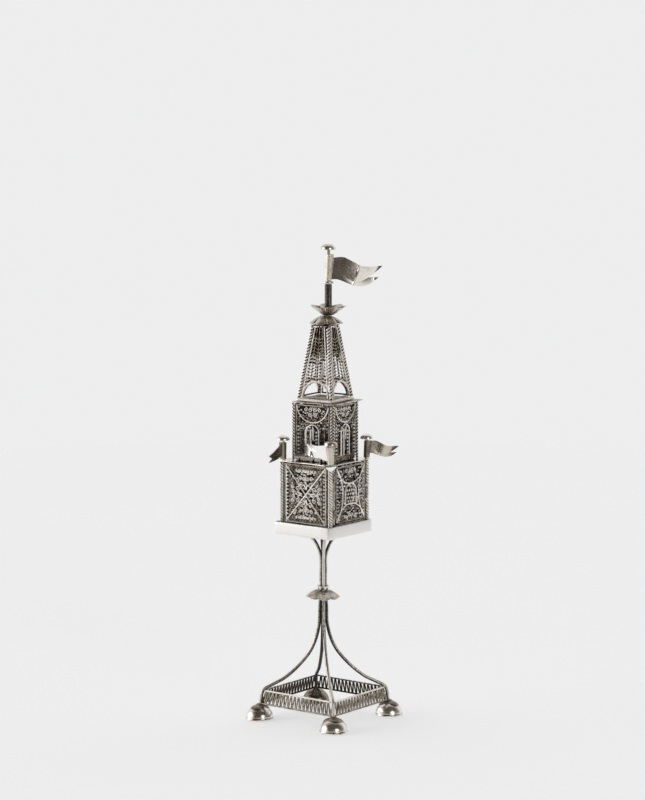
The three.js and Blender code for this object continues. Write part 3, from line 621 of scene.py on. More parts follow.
def silver(name, bright, tarnish, rough, cloud_size, cloudy, bump=0.1, worn=(0.25, 0.8), dark=PATINA_AND_SHADE):
    """Silver: patina where it isn't worn, clouds of tarnish, uneven polish and fine relief. The wear
    attribute also carries painted light and shade, so the patina colour is partly painted shade.
    """
    material = bpy.data.materials.new(name)
    graph = Graph(material)
    shader = graph.nodes["Principled BSDF"]
    shader.inputs["Metallic"].default_value = 1.0
    attribute = graph.node("ShaderNodeAttribute")
    attribute.attribute_name = "wear_and_light"
    clouds = graph.noise(1000 / cloud_size, 4.0, 0.6)
    grain = graph.noise(GRAIN_SCALE, 2.0)
    streaks = graph.noise(STREAK_SCALE, 3.0, 0.65)
    metal = graph.mixed(graph.spread(clouds, cloudy, cloudy + 0.16), bright, tarnish)
    uneven = graph.spread(streaks, 0.3, 0.7, -0.22, 0.22)
    polish_and_light = graph.spread(graph.added(attribute.outputs["Fac"], uneven), *worn)
    graph.links.new(graph.mixed(polish_and_light, dark, metal), shader.inputs["Base Color"])
    graph.links.new(graph.spread(streaks, 0.3, 0.7, rough * 0.8, rough * 1.35), shader.inputs["Roughness"])
    relief = graph.node("ShaderNodeBump", Strength=bump, Distance=RELIEF_DEPTH)
    graph.links.new(graph.added(grain, streaks), relief.inputs["Height"])
    graph.links.new(relief.outputs["Normal"], shader.inputs["Normal"])
    return material


# Each silver: its name, bright and tarnished colour, roughness, size of its clouds in millimetres,
# noise from which they tarnish it, strength of the relief, wear over which the patina goes, the wear
# also carrying painted light and shade, and, for the stem alone, another patina
SILVERS = {
    "fine": ("fine_filigree", (0.64, 0.565, 0.465), (0.21, 0.165, 0.118), 0.34, 2.4, 0.47, 0.45, (0.3, 1.0)),
    "main": ("plain_wire", (1.0, 0.955, 0.885), (0.78, 0.705, 0.61), 0.48, 4.0, 0.54, 0.2, (-0.05, 0.5)),
    "rim": ("rim_wire", (0.5, 0.44, 0.36), (0.24, 0.2, 0.155), 0.4, 3.0, 0.48, 0.2, (0.2, 0.9)),
    "grain": ("silver_grains", (1.0, 0.97, 0.93), (0.86, 0.81, 0.75), 0.38, 3.0, 0.6, 0.1, (0.16, 0.92)),
    "rope": ("twisted_wire", (1.0, 0.96, 0.88), (0.8, 0.73, 0.62), 0.36, 4.0, 0.52, 0.2, (0.2, 0.74)),
    "polished": ("polished_silver", (0.87, 0.83, 0.77), (0.6, 0.53, 0.45), 0.22, 9.0, 0.5, 0.04, (0.2, 0.7)),
    "cup": ("petal_silver", (0.66, 0.61, 0.54), (0.36, 0.3, 0.24), 0.26, 6.0, 0.48, 0.06, (0.1, 0.95)),
    "pole": ("dark_tube", (0.42, 0.4, 0.36), (0.26, 0.235, 0.2), 0.26, 6.0, 0.5, 0.1, (-0.1, 1.1)),
    "tray": ("satin_silver", (0.92, 0.905, 0.875), (0.84, 0.8, 0.75), 0.42, 14.0, 0.55, 0.12),
    "stem": (
        "drawn_wire", (0.72, 0.68, 0.61), (0.4, 0.365, 0.315), 0.3, 9.0, 0.52, 0.1, (0.25, 1.0), WIRE_PATINA_AND_SHADE,
    ),
    "gallery": ("band_wire", (0.5, 0.44, 0.36), (0.22, 0.18, 0.135), 0.34, 2.2, 0.46, 0.3, (0.25, 1.0)),
    "flag": ("pennant_silver", (0.86, 0.82, 0.75), (0.56, 0.47, 0.38), 0.2, 12.0, 0.5, 0.05),
    "dull": ("dull_silver", (0.66, 0.6, 0.5), (0.42, 0.355, 0.27), 0.26, 7.0, 0.5, 0.08),
    "sleeve": ("sleeve_silver", (0.88, 0.82, 0.71), (0.62, 0.54, 0.43), 0.42, 6.0, 0.52, 0.08),
    # White silver: a lighter copy of the pennant silver, painted light on the front right pennant and the
    # leaf.
    "white": ("white_silver_painted_light", (1.0, 0.99, 0.97), (0.95, 0.92, 0.86), 0.22, 9.0, 0.55, 0.04),
    "plate": ("plate_silver", (0.8, 0.76, 0.69), (0.52, 0.46, 0.38), 0.14, 10.0, 0.5, 0.04),
    # Brown silver for solder, necks, the crown and a sleeve; on the back left foot and the front left pennant
    # it is painted shade.
    "brown": ("brown_silver_and_painted_shade", (0.3, 0.26, 0.21), (0.16, 0.13, 0.1), 0.26, 5.0, 0.5, 0.06),
}


def make_looks():
    LOOKS.update({look: silver(*values) for look, values in SILVERS.items()})


# Base and stem


def build_feet():
    """Domes with a flat lip, a little uneven, each with solder where its wire lands."""
    steps = 16
    lip = [(0.01, 0.05), (FOOT_RADIUS - 0.5, 0.05), (FOOT_RADIUS - 0.12, 0)]
    lip += [(FOOT_RADIUS, 0.2), (FOOT_RADIUS, 0.55)]
    wide, tall = FOOT_RADIUS - 0.3, FOOT_HEIGHT - FOOT_LIP
    quarter = np.linspace(0, math.pi / 2, steps + 1)
    dome = [(max(wide * math.cos(a), 0.01), FOOT_LIP + tall * math.sin(a)) for a in quarter]
    wear_and_light = [0.5] * 3 + [1.0, 0.9] + [0.45] + [1.0] * steps
    solder = [(0.01, -2.4), (4.7, -1.85), (4.3, -1.2), (3.6, -0.55), (2.7, -0.1), (1.9, 0.2), (1.4, 0.8)]
    solder = [(r, FOOT_HEIGHT + z) for r, z in solder + [(1.1, 1.0), (0.01, 1.05)]]
    for name, (x, y) in CORNERS.items():

        def dented(radius, height, angle):
            dent = 0.06 * np.sin(3 * angle + x + 2 * y) + 0.04 * np.sin(5 * angle + 2 * x - y)
            return radius * (1 + dent * 0.14 * np.sin(height / FOOT_HEIGHT * math.pi)), height

        def runny(radius, height, angle):
            lobes = 0.1 * np.sin(2 * angle + x) + 0.07 * np.sin(3 * angle + 2 * y)
            return radius * (1 + lobes * np.clip(radius / 3 - 0.5, 0, 1)), height

        piece = Piece()
        centre = (x * BASE_HALF, y * BASE_HALF, 0)
        piece.lathe(lip + dome, 72, centre, 0, wear_and_light, dented)
        piece.lathe(solder, 40, centre, 1, 0.9, runny)
        # The back left foot takes the brown silver as painted shade, where the front of the base hides its
        # highlights; the solder is brown on every foot.
        looks = ["brown" if name == "back_left" else "polished", "brown"]
        piece.make(f"foot_{name}_dome", f"foot_{name}", looks)


def build_gallery():
    """Two rails a side, with a flat wire between them that runs to and fro."""
    (low_half, low_z), (top_half, top_z) = RAIL_LOW, RAIL_TOP
    end = WIRE_RADIUS + 0.45
    height = math.hypot(low_half - top_half, top_z - low_z)
    swing = np.sin(np.linspace(0, GALLERY_PERIODS * 2 * math.pi, GALLERY_PERIODS * 16 + 1))
    v = height / 2 + (height / 2 - RAIL_RADIUS * 0.4) * np.sign(swing) * np.abs(swing) ** 0.8
    half = low_half + (top_half - low_half) * v / height - end - 0.1
    band = np.column_stack([np.linspace(-1, 1, len(swing)) * half, v])
    for side, name in enumerate(SIDES):
        piece = Wall(wall_place(side, low_half, top_half, low_z, top_z))
        for slot, (rail_half, rail_v) in enumerate(((low_half, 0), (top_half, height))):
            rail = line((end - rail_half, rail_v), (rail_half - end, rail_v))
            piece.lay(rail, round_section(RAIL_RADIUS, 10), slot=slot)
        piece.lay(band, flat_section(*GALLERY_WIRE))
        piece.make(f"gallery_{name}_wires", f"base_gallery_{name}", ["gallery", "main"], 60)


def between(a, b, share):
    return a + (b - a) * share


def stem_route(x, y):
    """The route of one stem wire, from its foot up to the tray."""
    (low_half, low_z), (top_half, top_z) = RAIL_LOW, RAIL_TOP
    (first_half, first_z), (last_half, last_z) = BUNDLE[0], BUNDLE[-1]
    route = [(low_half, low_z), (top_half, top_z)]
    route += [(between(first_half, top_half, out), between(top_z, first_z, up)) for out, up in LEG_CURVE]
    route += BUNDLE[:-1]
    route += [(between(last_half, FLARE[0], out), between(last_z, FLARE[1], up)) for out, up in FLARE_CURVE]
    points = []
    for half, z in route:
        share = min(max((z - top_z) / (first_z - top_z), 0), 1)
        share = share * share * (3 - 2 * share)
        points.append((x * half + share * TRAY_SHIFT[0], y * half + share * TRAY_SHIFT[1], z))
    return through(points, 7)


def build_stem_wires():
    """Four drawn wires, with patina in the grooves between them where they are bundled, painted light along
    the outer side of the legs and painted shade below the knop.
    """
    points, wear_and_light = round_section(WIRE_RADIUS, 14)
    for name, (x, y) in CORNERS.items():
        piece = Piece("wire_silver")
        # The outer side, turned a little down, keeps the most wear: patina in the grooves of the bundle, and
        # a painted highlight along the outer side of the legs.
        piece.sweep(stem_route(x, y), np.array([x, y, -0.55]), (points, wear_and_light ** 1.5))
        # Painted light and shade by height: lighter legs, darker wires below the knop.
        piece.wear_and_light[-1] = piece.wear_and_light[-1] * np.interp(piece.points[-1][:, 2], *STEM_LIGHT_AND_SHADE)
        piece.make(f"stem_wire_{name}_drawn", f"stem_wire_{name}", ["stem"], 60)


def petals(piece, place, bore, radius, rise, thickness, count, notch, fold, curl, dark):
    """A cup of petals that rises from its bore; a negative rise hangs down. Each petal is folded."""
    rows, columns = 15, count * 16
    share = np.linspace(0, 1, rows)[:, None]
    angle = np.linspace(0, 2 * math.pi, columns, endpoint=False)[None, :]
    lobe = np.abs(np.cos(angle * count / 2))
    reach = radius * (1 - notch * (1 - lobe ** 0.75))
    r = bore + (reach - bore) * share
    z = rise * (0.12 * share + 0.88 * share ** curl)
    z = z - fold * share * (1 - lobe) * math.copysign(1, rise) + 0.35 * fold * share * lobe ** 6
    grid = np.stack([r * np.cos(angle), r * np.sin(angle), z], axis=-1)
    wear_and_light = np.clip(1 - dark * (1 - share) ** 1.5 + 0 * angle, 0, 1)
    piece.shell(grid, thickness, 0, wear_and_light, True, place)


def build_knop():
    """A tilted flower that hangs down round the bundled wires."""
    low, high = height_of("stem_knop")
    bore = BUNDLE_BORE
    c, s = math.cos(math.radians(KNOP_TILT)), math.sin(math.radians(KNOP_TILT))
    tilt = np.array([[c, 0, s, 0], [0, 1, 0, 0], [-s, 0, c, 0], [0, 0, 0, 1.0]])
    piece = Piece()
    place = moved(*TRAY_SHIFT, high - 0.35) @ tilt
    shape = {"thickness": 0.45, "count": 8, "notch": 0.12, "fold": 0.5, "curl": 2.0, "dark": 1.0}
    petals(piece, place, bore, KNOP_RADIUS, low - high + 0.75, **shape)
    collar = [(0, -0.4), (0.55, -0.4), (0.7, -0.1), (0.5, 0.25), (0, 0.3), (0, -0.4)]
    piece.lathe([(bore + out, z) for out, z in collar], 40, wear_and_light=0.7, place=place)
    piece.make("knop_petals", "stem_knop", ["cup"])


def build_ferrule():
    """A small flower that opens up on the knop."""
    low, high = height_of("knop_ferrule")
    piece = Piece()
    place = moved(*TRAY_SHIFT, low + 0.1)
    shape = {"thickness": 0.3, "count": 6, "notch": 0.3, "fold": 0.1, "curl": 1.2, "dark": 0.2}
    petals(piece, place, BUNDLE_BORE, FERRULE_RADIUS, high - low + 0.5, **shape)
    piece.make("ferrule_petals", "knop_ferrule", ["polished"])


def tub(piece, profile, half, corner, centre=(0, 0), warp=None, wear_and_light=1.0):
    """A body whose plan is a rounded square, from [offset, z] pairs, its outer side going up."""
    rings = []
    for offset, z in profile:
        outline = rounded_outline(half + offset, corner + offset)
        rings.append(np.column_stack([outline, np.full(len(outline), z)]))
    rings = np.array(rings)
    if warp is not None:
        rings = warp(rings)
    piece.loft(rings + np.array([*centre, 0.0]), 0, wear_and_light, profile[0] != profile[-1])


def build_tray():
    """A satin tray with a rolled lip, slightly dented by use."""
    low, high = height_of("tray")
    top = high - low
    outside = [(-12, 0), (-6, 0), (-1.3, 0), (-0.5, 0.1), (-0.1, 0.45), (0, 1.0), (0, 2.6), (0, 4.3)]
    outside.append((0, top - 0.35))
    lip = [(-0.05, top - 0.12), (-0.2, top), (-0.4, top), (-0.55, top - 0.12), (-0.6, top - 0.35)]
    inside = [(-0.6, 4.3), (-0.6, 2.6), (-0.75, 1.3), (-1.2, 0.95), (-2, 0.9), (-6, 0.9), (-12, 0.9)]
    profile = [(offset, z + low) for offset, z in outside + lip + inside]

    def dented(rings):
        share = np.clip((rings[..., 2] - low - 0.5) / top, 0, 1)
        x, y = rings[..., 0], rings[..., 1]
        dent = 0.07 * np.sin(0.42 * x + 0.3 * y + 1) + 0.05 * np.sin(0.8 * y - 0.5 * x)
        outward = np.array([x, y]) / np.maximum(np.hypot(x, y), 1)
        rings[..., 0] += dent * share * outward[0]
        rings[..., 1] += dent * share * outward[1]
        rings[..., 2] += 0.05 * share * np.sin(0.3 * x - 0.25 * y)
        return rings

    # The floor inside is darker: painted shade under the box.
    wear_and_light = [1.0] * (len(outside) + len(lip) + 3) + [0.45] * 4
    piece = Piece()
    tub(piece, profile, TRAY_HALF, 1.9, TRAY_SHIFT, dented, wear_and_light)
    piece.make("tray_dish", "tray", ["tray"], 45)


# Corner wires


def rope(piece, start, end, radius, strands, pitch, hand):
    """Strands twisted round each other; hand 1 leans them to the right as they rise."""
    start, end = np.array(start, float), np.array(end, float)
    axis = unit(end - start)
    first = unit(np.cross(axis, (0.3, 1, 0)))
    second = np.cross(axis, first)
    spread_share = math.sin(math.pi / strands)
    strand = radius * spread_share / (1 + spread_share)
    length = np.linalg.norm(end - start)
    s = np.linspace(0, 1, int(length / pitch * 13) + 1)
    points, wear_and_light = round_section(strand, 8)
    for i in range(strands):
        angle = hand * (s * length / pitch * 2 * math.pi) + i * 2 * math.pi / strands
        radial = np.cos(angle)[:, None] * first + np.sin(angle)[:, None] * second
        path = start + (end - start) * s[:, None] + radial * (radius - strand)
        piece.sweep(path, radial, (points, wear_and_light ** 2.4))


def build_ropes():
    """Three strands below, two on the spire, and a braid of two cords on the upper box."""
    for name, corner in CORNERS.items():
        corner = np.array(corner)
        ropes = {part: Piece("filigree_silver") for part in ("lower", "upper", "spire")}
        low, high = height_of(f"lower_post_{name}")
        at = corner * LOWER_HALF
        rope(ropes["lower"], (*at, low), (*at, high), LOWER_POST_RADIUS, 3, LOWER_TWIST, -1)
        low, high = height_of(f"upper_post_{name}")
        across = np.array([-corner[1], corner[0]]) / math.sqrt(2) * UPPER_POST_RADIUS * 0.48
        for hand in (-1, 1):
            at = corner * UPPER_HALF + across * hand
            rope(ropes["upper"], (*at, low), (*at, high), UPPER_POST_RADIUS * 0.56, 2, UPPER_TWIST, -hand)
        low, high = height_of(f"spire_post_{name}")
        foot = (*(corner * SPIRE_LOW_HALF), low + 0.15)
        head = (*(corner * SPIRE_TOP_HALF), high - 0.15)
        rope(ropes["spire"], foot, head, SPIRE_POST_RADIUS, 2, UPPER_TWIST, 1)
        for part, kind in (("lower", "rope"), ("upper", "braid"), ("spire", "rope")):
            if part != "lower":
                ropes[part].carry(upper_place())
            ropes[part].make(f"{part}_{kind}_{name}", f"{part}_post_{name}", ["rope"], 60)


# Lower box


def crossed_field(wall, base, height, turn, middle):
    """The ornament between two arms of the cross, drawn with its tip at the crossing."""
    half = base / 2
    upright = turn % 180 == 0
    centre = (0, middle)

    def put(kind, *paths):
        wall.draw(kind, *[(np.asarray(path) - (0, height)) @ turn2(turn) + centre for path in paths])

    if upright:
        put("fine", *[ring(spot, 0.7) for spot in spots((1.6 - half, 0.95), (half - 1.6, 0.95), 1.75)])
    count = int((base - 5.2) / 2.5)
    for i in range(count):
        x = (i - (count - 1) / 2) * 2.5
        put("thin" if upright and abs(x) < base / 4 else "fine", c_scroll((x, 2.3), 0.72, 0.6, 0.2))
    for hand in (-1, 1):
        start = 180 if hand > 0 else 0
        stalk = through([(hand * u, height - v) for u, v in ((0.3, 2.4), (0.75, 4.0), (1.35, 5.3))], 4)
        curl = spiral((hand * 2.75, height - 5.3), 1.4, start, -1.3 * hand)
        put("thin", np.vstack([stalk[:-1], curl]))
        put("thin", spiral((hand * 1.2, height - 8.1), 1.15, 90 + hand * 90, -1.4 * hand))
        put("thin", spiral((hand * 3.6, height - 8.3), 1.1, 90, 1.4 * hand))
    for bulge in (0.55, -0.55):
        put("thin", through([(0, height - 3.0), (bulge, height - 4.7), (0, height - 6.6)], 5))
    if upright:
        put("thin", line((0, height - 6.6), (0, height - 9.9)))
        for x, z in ((0.9, 9.9), (-1.3, 10.6), (2.5, 10.2), (-3.0, 10.9), (4.4, 11.2), (-0.2, 11.8)):
            wall.bead((np.array([(x, -z)]) @ turn2(turn) + centre)[0], 0.62)


def build_crossed_panels():
    """The fixed walls of the lower box: a cross of plain wire and four fields of scrolls."""
    low_z, top_z = height_of("lower_panel_front")
    half = LOWER_HALF - LOWER_POST_RADIUS - WALL_GAP
    low, top, reach, inset = low_z + 5.7, top_z - 0.75, half - 1.4, half - FIELD_INSET
    middle, wide, tall = (low + top) / 2, 2 * reach, top - low
    for side, name in enumerate(SIDES):
        if name == "right":
            continue
        wall = Wall(wall_place(side, LOWER_HALF))
        for v in (low_z + RIM_INSET, top_z - RIM_INSET):
            wall.draw("rim", line((0.3 - half, v), (half - 0.3, v)))
        for u in (RIM_INSET - half, half - RIM_INSET):
            wall.draw("fine", line((u, low_z + 0.2), (u, top_z - 0.2)))
        wall.draw("main", line((-reach, low), (reach, top)), line((reach, low), (-reach, top)))
        wall.draw("thin", line((-inset, low - 0.2), (inset, low - 0.2)))
        wall.draw("thin", line((-reach, low), (-reach, top)), line((reach, low), (reach, top)))
        for u in (0.95 - reach, reach - 0.95):
            wall.beads((u, low + 0.9), (u, top - 0.9), 1.78, 0.45)
        for turn in (0, 90, 180, 270):
            base, height = (wide, tall / 2) if turn % 180 == 0 else (tall, wide / 2)
            crossed_field(wall, base, height, turn, middle)
        field = (-reach, low), (reach, top)
        wall.pack(*field, ((0.9, 15 + side, 0.2), (1.0, 20 + side, 0.85), (0.62, 30 + side, 0.45)))
        wall.painted_shade_layer(*field, 1.0, 35 + side)
        wall.sprinkle((1.2 - reach, low + 1.2), (reach - 1.2, top - 1.2), 34, 45 + side)
        wall.fill((-inset, low_z + FIELD_INSET), (inset, low), 1.35, 40 + side)
        wall.make(f"lower_filigree_{name}", f"lower_panel_{name}", FILIGREE)


def draw_window(wall, half, low, spring):
    """An arched window with a lattice of small lozenges, each round a grain."""
    wall.draw("main", arched(half, low, spring), line((-half, low), (half, low)))
    lozenge = np.array([(0.0, 0.62), (0.45, 0), (0, -0.62), (-0.45, 0), (0.0, 0.62)]) @ turn2(-28) * 1.5
    for row in range(5):
        v = low + 1.45 + row * 1.85
        for u in (-2.75, -0.9, 0.95, 2.8) if row % 2 else (-1.85, 0.05, 1.9):
            if math.hypot(u, max(v - spring, 0)) > half - 1.2:
                continue
            wall.draw("fine", lozenge + (u, v))
            wall.bead((u, v), 0.56)


def add_knuckles(wall, pin, low, high, left):
    """Two barrels round the hinge pin, each held by three straps."""
    flat = wall_place(1, LOWER_HALF)
    upright = np.array([[1, 0, 0, 0], [0, 0, 1, 0], [0, -1, 0, 0], [0, 0, 0, 1.0]])
    inner, outer, tall = 0.8, 1.15, 4.5
    soft = (outer - inner) / 3
    barrel = [(inner, 0), (outer - soft, 0), (outer, soft), (outer, tall - soft), (outer - soft, tall)]
    barrel += [(inner, tall), (inner, 0)]
    for z in (low + 3.0, high - 7.5):
        wall.lathe(barrel, 28, wear_and_light=0.6, place=flat @ moved(pin, z, 0) @ upright)
        for v in (z + 0.8, z + 2.25, z + 3.7):
            strap = np.array([(pin + 0.95, v, 0.3), (left + 0.2, v, 0.25), (left + 0.9, v, 0.1)])
            wall.sweep(strap, OUTWARD, round_section(0.3, 8), place=flat)


def build_door():
    """The door: bows on its four sides round an arched window, and its hinge knuckles."""
    box_low, box_high = box_of("door")
    low, high, right = box_low[2], box_high[2], box_high[1]
    pin = middle_of("door_hinge_pin")[1]
    left = -11.05
    half, shift, middle = (right - left) / 2, (right + left) / 2, (low + high) / 2
    reach = half - RIM_INSET
    wall = Wall(wall_place(1, LOWER_HALF) @ moved(shift, 0, 0))
    wall.draw("rim", rectangle(-half, low, half, high, RIM_INSET))
    wall.draw("main", bow(reach - 0.3, -8.4, high - 0.8), bow(reach - 0.3, 8.4, low + 0.8))
    side_bow = bow((high - low) / 2 - 0.9, 5.0, 0)
    wall.draw("main", np.column_stack([side_bow[:, 1] - reach + 0.3, middle - side_bow[:, 0]]))
    wall.draw("main", np.column_stack([reach - 0.3 - side_bow[:, 1], middle + side_bow[:, 0]]))
    window_half, window_low, spring = 4.5, middle - 5.4, middle + 0.5
    draw_window(wall, window_half, window_low, spring)
    for hand in (-1, 1):
        u = hand * (reach - 1.2)
        wall.beads((u, low + 3.6), (u, high - 3.6), 1.8, 0.48)
    for direction, edge in ((1, high), (-1, low)):
        for hand in (-1, 1):
            for u, drop, radius in ((1.3, 3.3, 1.15), (3.7, 2.6, 1.05)):
                spot = (hand * u, edge - direction * drop)
                wall.draw("thin", spiral(spot, radius, 90 * direction, 1.3 * hand * direction))
    inset, floor, ceiling = half - FIELD_INSET, low + FIELD_INSET, high - FIELD_INSET
    wall.pack((-inset, floor), (inset, ceiling), ((0.9, 50, 0.3), (1.0, 51, 0.8), (0.62, 52, 0.45)))
    wall.painted_shade_layer((-inset, floor), (-window_half, ceiling), 1.0, 53)
    wall.painted_shade_layer((window_half, floor), (inset, ceiling), 1.0, 53)
    wall.painted_shade_layer((-window_half, floor), (window_half, window_low), 1.0, 54)
    wall.painted_shade_layer((-window_half, spring + window_half), (window_half, ceiling), 1.0, 55)
    wall.sprinkle((2.2 - half, low + 1.5), (half - 2.2, high - 1.5), 30, 56)
    add_knuckles(wall, pin, low, high, left)
    wall.make("door_filigree", "door", FILIGREE, body="door")


def build_sill():
    """The filigree sill below the door."""
    low, high = height_of("door_sill")
    left, right = -11.7, 13.7
    sill = Wall(wall_place(1, LOWER_HALF))
    sill.draw("rim", rectangle(left, low, right, high, RIM_INSET))
    left, right = left + FIELD_INSET, right - FIELD_INSET
    sill.draw("thin", line((left, high - 1.1), (right, high - 1.1)))
    sill.fill((left, low + FIELD_INSET), (right, high - 1.3), 1.3, 61)
    sill.make("sill_filigree", "door_sill", FILIGREE)


def build_hinge_pin():
    """The pin that the door turns on."""
    low, high = box_of("door_hinge_pin")
    tall, radius = high[2] - low[2], HINGE_PIN_RADIUS
    pin = Piece("wire_silver")
    profile = [(0.01, 0), (radius - 0.1, 0), (radius, 0.1), (radius, tall - 0.15), (radius - 0.15, tall)]
    profile.append((0.01, tall))
    pin.lathe(profile, 20, (*middle_of("door_hinge_pin"), low[2]), 0, 0.8)
    pin.make("hinge_pin", "door_hinge_pin", ["stem"])


def build_door_pull():
    """A bent wire with a rivet at each end."""
    radius = PULL_RADIUS
    low, high = box_of("door_pull")
    start, reach, u = low[0], high[0] - low[0] - radius, middle_of("door_pull")[1]
    foot, head, slant = low[2] + radius, high[2] - radius, reach * 0.7
    bent = [(0, foot), (slant, foot + 0.25), (reach, foot + 1.6)]
    bent += [(reach, head - 1.6), (slant, head - 0.25), (0, head)]
    path = np.array([(start + x, u, z) for x, z in through(bent, 6)])
    pull = Piece("wire_silver")
    pull.sweep(path, (1.0, 0.0, 0.01), round_section(radius, 12))
    rivet = [(0.01, -0.5), (0.6, -0.45), (0.75, 0), (0.6, 0.45), (0.01, 0.5)]
    for z in (foot, head):
        pull.lathe(rivet, 20, (start + 0.25, u, z))
    pull.make("door_pull_wire", "door_pull", ["main"], 60, "door")


def add_leaf(piece, z):
    """The front right corner of the plate, bent down as a leaf."""
    bend = [(20.3, 0.12), (22.0, 0.12), (22.95, -0.05), (23.4, -0.6), (23.1, -1.6), (22.45, -2.75)]
    bend = through(bend, 4)
    share = np.linspace(0, 1, len(bend))[:, None]
    along = np.linspace(-1, 1, 29)[None, :] * (3.65 * (1 - share ** 1.7) ** 0.8 + 0.3)
    out = bend[:, :1] + 0 * along - 0.035 * along ** 2 * share
    drop = bend[:, 1:] + 0 * along
    leaf = np.stack([(along + out) / math.sqrt(2), (along - out) / math.sqrt(2), z + drop], axis=-1)
    piece.shell(leaf[:, ::-1], 0.35, 1)


def build_lower_plate():
    """A thin plate that overhangs, cut off where its leaf starts."""
    low, high = height_of("lower_plate")
    cut = 21.7
    edge = [(offset, low) for offset in (-15, -9, -5, -3, -2)]
    edge += [(-1.2, low + 0.1), (-0.6, low + 0.28), (-0.12, low + 0.4), (0, low + 0.5), (0, high - 0.12)]
    edge += [(offset, high) for offset in (-0.1, -0.6, -1.2, -2, -3, -5, -9, -15)]

    def trimmed(rings):
        x, y = rings[..., 0], rings[..., 1]
        out, along = (x - y) / math.sqrt(2), (x + y) / math.sqrt(2)
        out = np.minimum(out, cut)
        rings[..., 0] = (along + out) / math.sqrt(2)
        rings[..., 1] = (along - out) / math.sqrt(2)
        rings[..., 2] += 0.06 * np.sin(0.35 * x + 0.5) * np.sin(0.3 * y)
        return rings

    piece = Piece()
    tub(piece, edge, LOWER_PLATE_HALF, 1.0, warp=trimmed)
    add_leaf(piece, high)
    # The leaf takes the white silver: painted light.
    piece.make("lower_plate_sheet", "lower_plate", ["plate", "white"], 40)


# Upper box


def build_upper_panels():
    """Walls on a low band darkened by painted shade, with a half round at the top over an arched window."""
    low_z, top_z = height_of("upper_panel_front")
    half = UPPER_HALF - UPPER_POST_RADIUS - WALL_GAP
    foot, spring, arch_half = low_z + UPPER_BAND, low_z + 14.7, 3.7
    for side, name in enumerate(SIDES):
        wall = Wall(upper_place() @ wall_place(side, UPPER_HALF))

        def post(kind, u, low, high):
            wall.draw(kind, line((u, low), (u, high)))

        wall.draw("rim", rectangle(-half, foot - RIM_INSET, half, top_z, RIM_INSET))
        # A dark back wire and a layer of dark curls along the foot of the wall: painted shade.
        wall.draw("back", line((0.3 - half, low_z + 0.4), (half - 0.3, low_z + 0.4)))
        wall.painted_shade_layer((-0.5 - half, low_z), (half + 0.5, foot + 0.6), 0.62, 65 + side)
        kind = "fine" if side % 2 else "thin"
        wall.fill((-half, low_z + 0.1), (half, foot - 0.1), 0.6, 60 + side, kind=kind)
        wall.draw("main", bow(half - 0.8, -8.1, top_z - 0.8), arched(arch_half, foot, spring))
        post("main", -arch_half - 0.5, foot, spring + 1.2)
        post("thin", -0.95, foot, spring + 1.4)
        post("thin", -1.45, foot, spring + 1.2)
        post("main", 0.35, foot + 8, spring + 2.2)
        wall.beads((2.3, foot + 0.4), (2.3, spring + 0.9), 1.8, 0.6)
        for hand in (-1, 1):
            dots, slat, inner = hand * (half - 1.75), hand * (half - 3.1), hand * 4.75
            post("fine", slat, foot, spring + 3.0)
            outer = hand * (half - 0.95)
            if hand < 0 or side % 2:
                wall.beads((dots, foot + 0.4), (dots, spring + 3.4), 1.8, 0.6)
                outer = slat
            wall.draw("fine", zigzag(foot + 0.4, spring + 2.6, inner, outer, 1.5))
            near, far = sorted((hand * 1.5, hand * half))
            wall.painted_shade_layer((near, foot), (far, spring + 2), 0.9, 75)
            curls = (1.5, 2.5, 1.25, 1.3), (4.1, 2.4, 1.15, 1.3), (1.4, 5.2, 1.1, -1.3)
            for u, drop, radius, turn in curls:
                wall.draw("thin", spiral((hand * u, top_z - drop), radius, 90, turn * hand))
            wall.bead((hand * 2.8, top_z - 4.1), 0.5)
            wall.bead((hand * 5.4, top_z - 3.9), 0.45)
        inset, high = half - FIELD_INSET, (half - FIELD_INSET, top_z - FIELD_INSET)
        rounds = (0.85, 68 + side, 0.2), (1.0, 70 + side, 0.85), (0.58, 80 + side, 0.45)
        wall.pack((-inset, spring), high, rounds)
        wall.painted_shade_layer((-inset, spring + 2), high, 0.9, 85 + side)
        wall.make(f"upper_filigree_{name}", f"upper_panel_{name}", FILIGREE)


def build_upper_plate():
    """A thin plate with a slightly wavy edge."""
    low, high = height_of("upper_plate")
    edge = [(-12, low), (-6, low), (-3, low), (-1.2, low + 0.1), (-0.3, low + 0.25), (0, low + 0.4)]
    over = [(0, high - 0.12), (-0.15, high), (-1.2, high), (-3, high), (-6, high), (-12, high)]

    def wavy(rings):
        x, y = rings[..., 0], rings[..., 1]
        share = np.clip((np.maximum(np.abs(x), np.abs(y)) - 9) / 4, 0, 1)
        rings[..., 2] += 0.16 * share * np.sin(0.5 * x + 0.8) * np.cos(0.42 * y)
        return rings

    piece = Piece()
    wear_and_light = [0.5] * 3 + [1.0] * 4 + [0.8] + [0.42] * 4
    tub(piece, edge + over, UPPER_PLATE_HALF, 0.8, UPPER_PLATE_SHIFT, wavy, wear_and_light)
    piece.carry(upper_place())
    piece.make("upper_plate_sheet", "upper_plate", ["cup"], 40)


# Spire


def build_spire_sill():
    """A frame with softened edges that the spire stands on."""
    low, high = height_of("spire_sill")
    sill = Piece()
    edge = [(-2.0, low), (-0.15, low), (0, low + 0.15), (0, high - 0.2), (-0.2, high), (-2.0, high)]
    tub(sill, edge + [(-2.2, high - 0.2), (-2.2, low + 0.2), (-2.0, low)], SPIRE_SILL_HALF, 0.8)
    sill.carry(upper_place())
    sill.make("spire_sill_frame", "spire_sill", ["main"], 40)


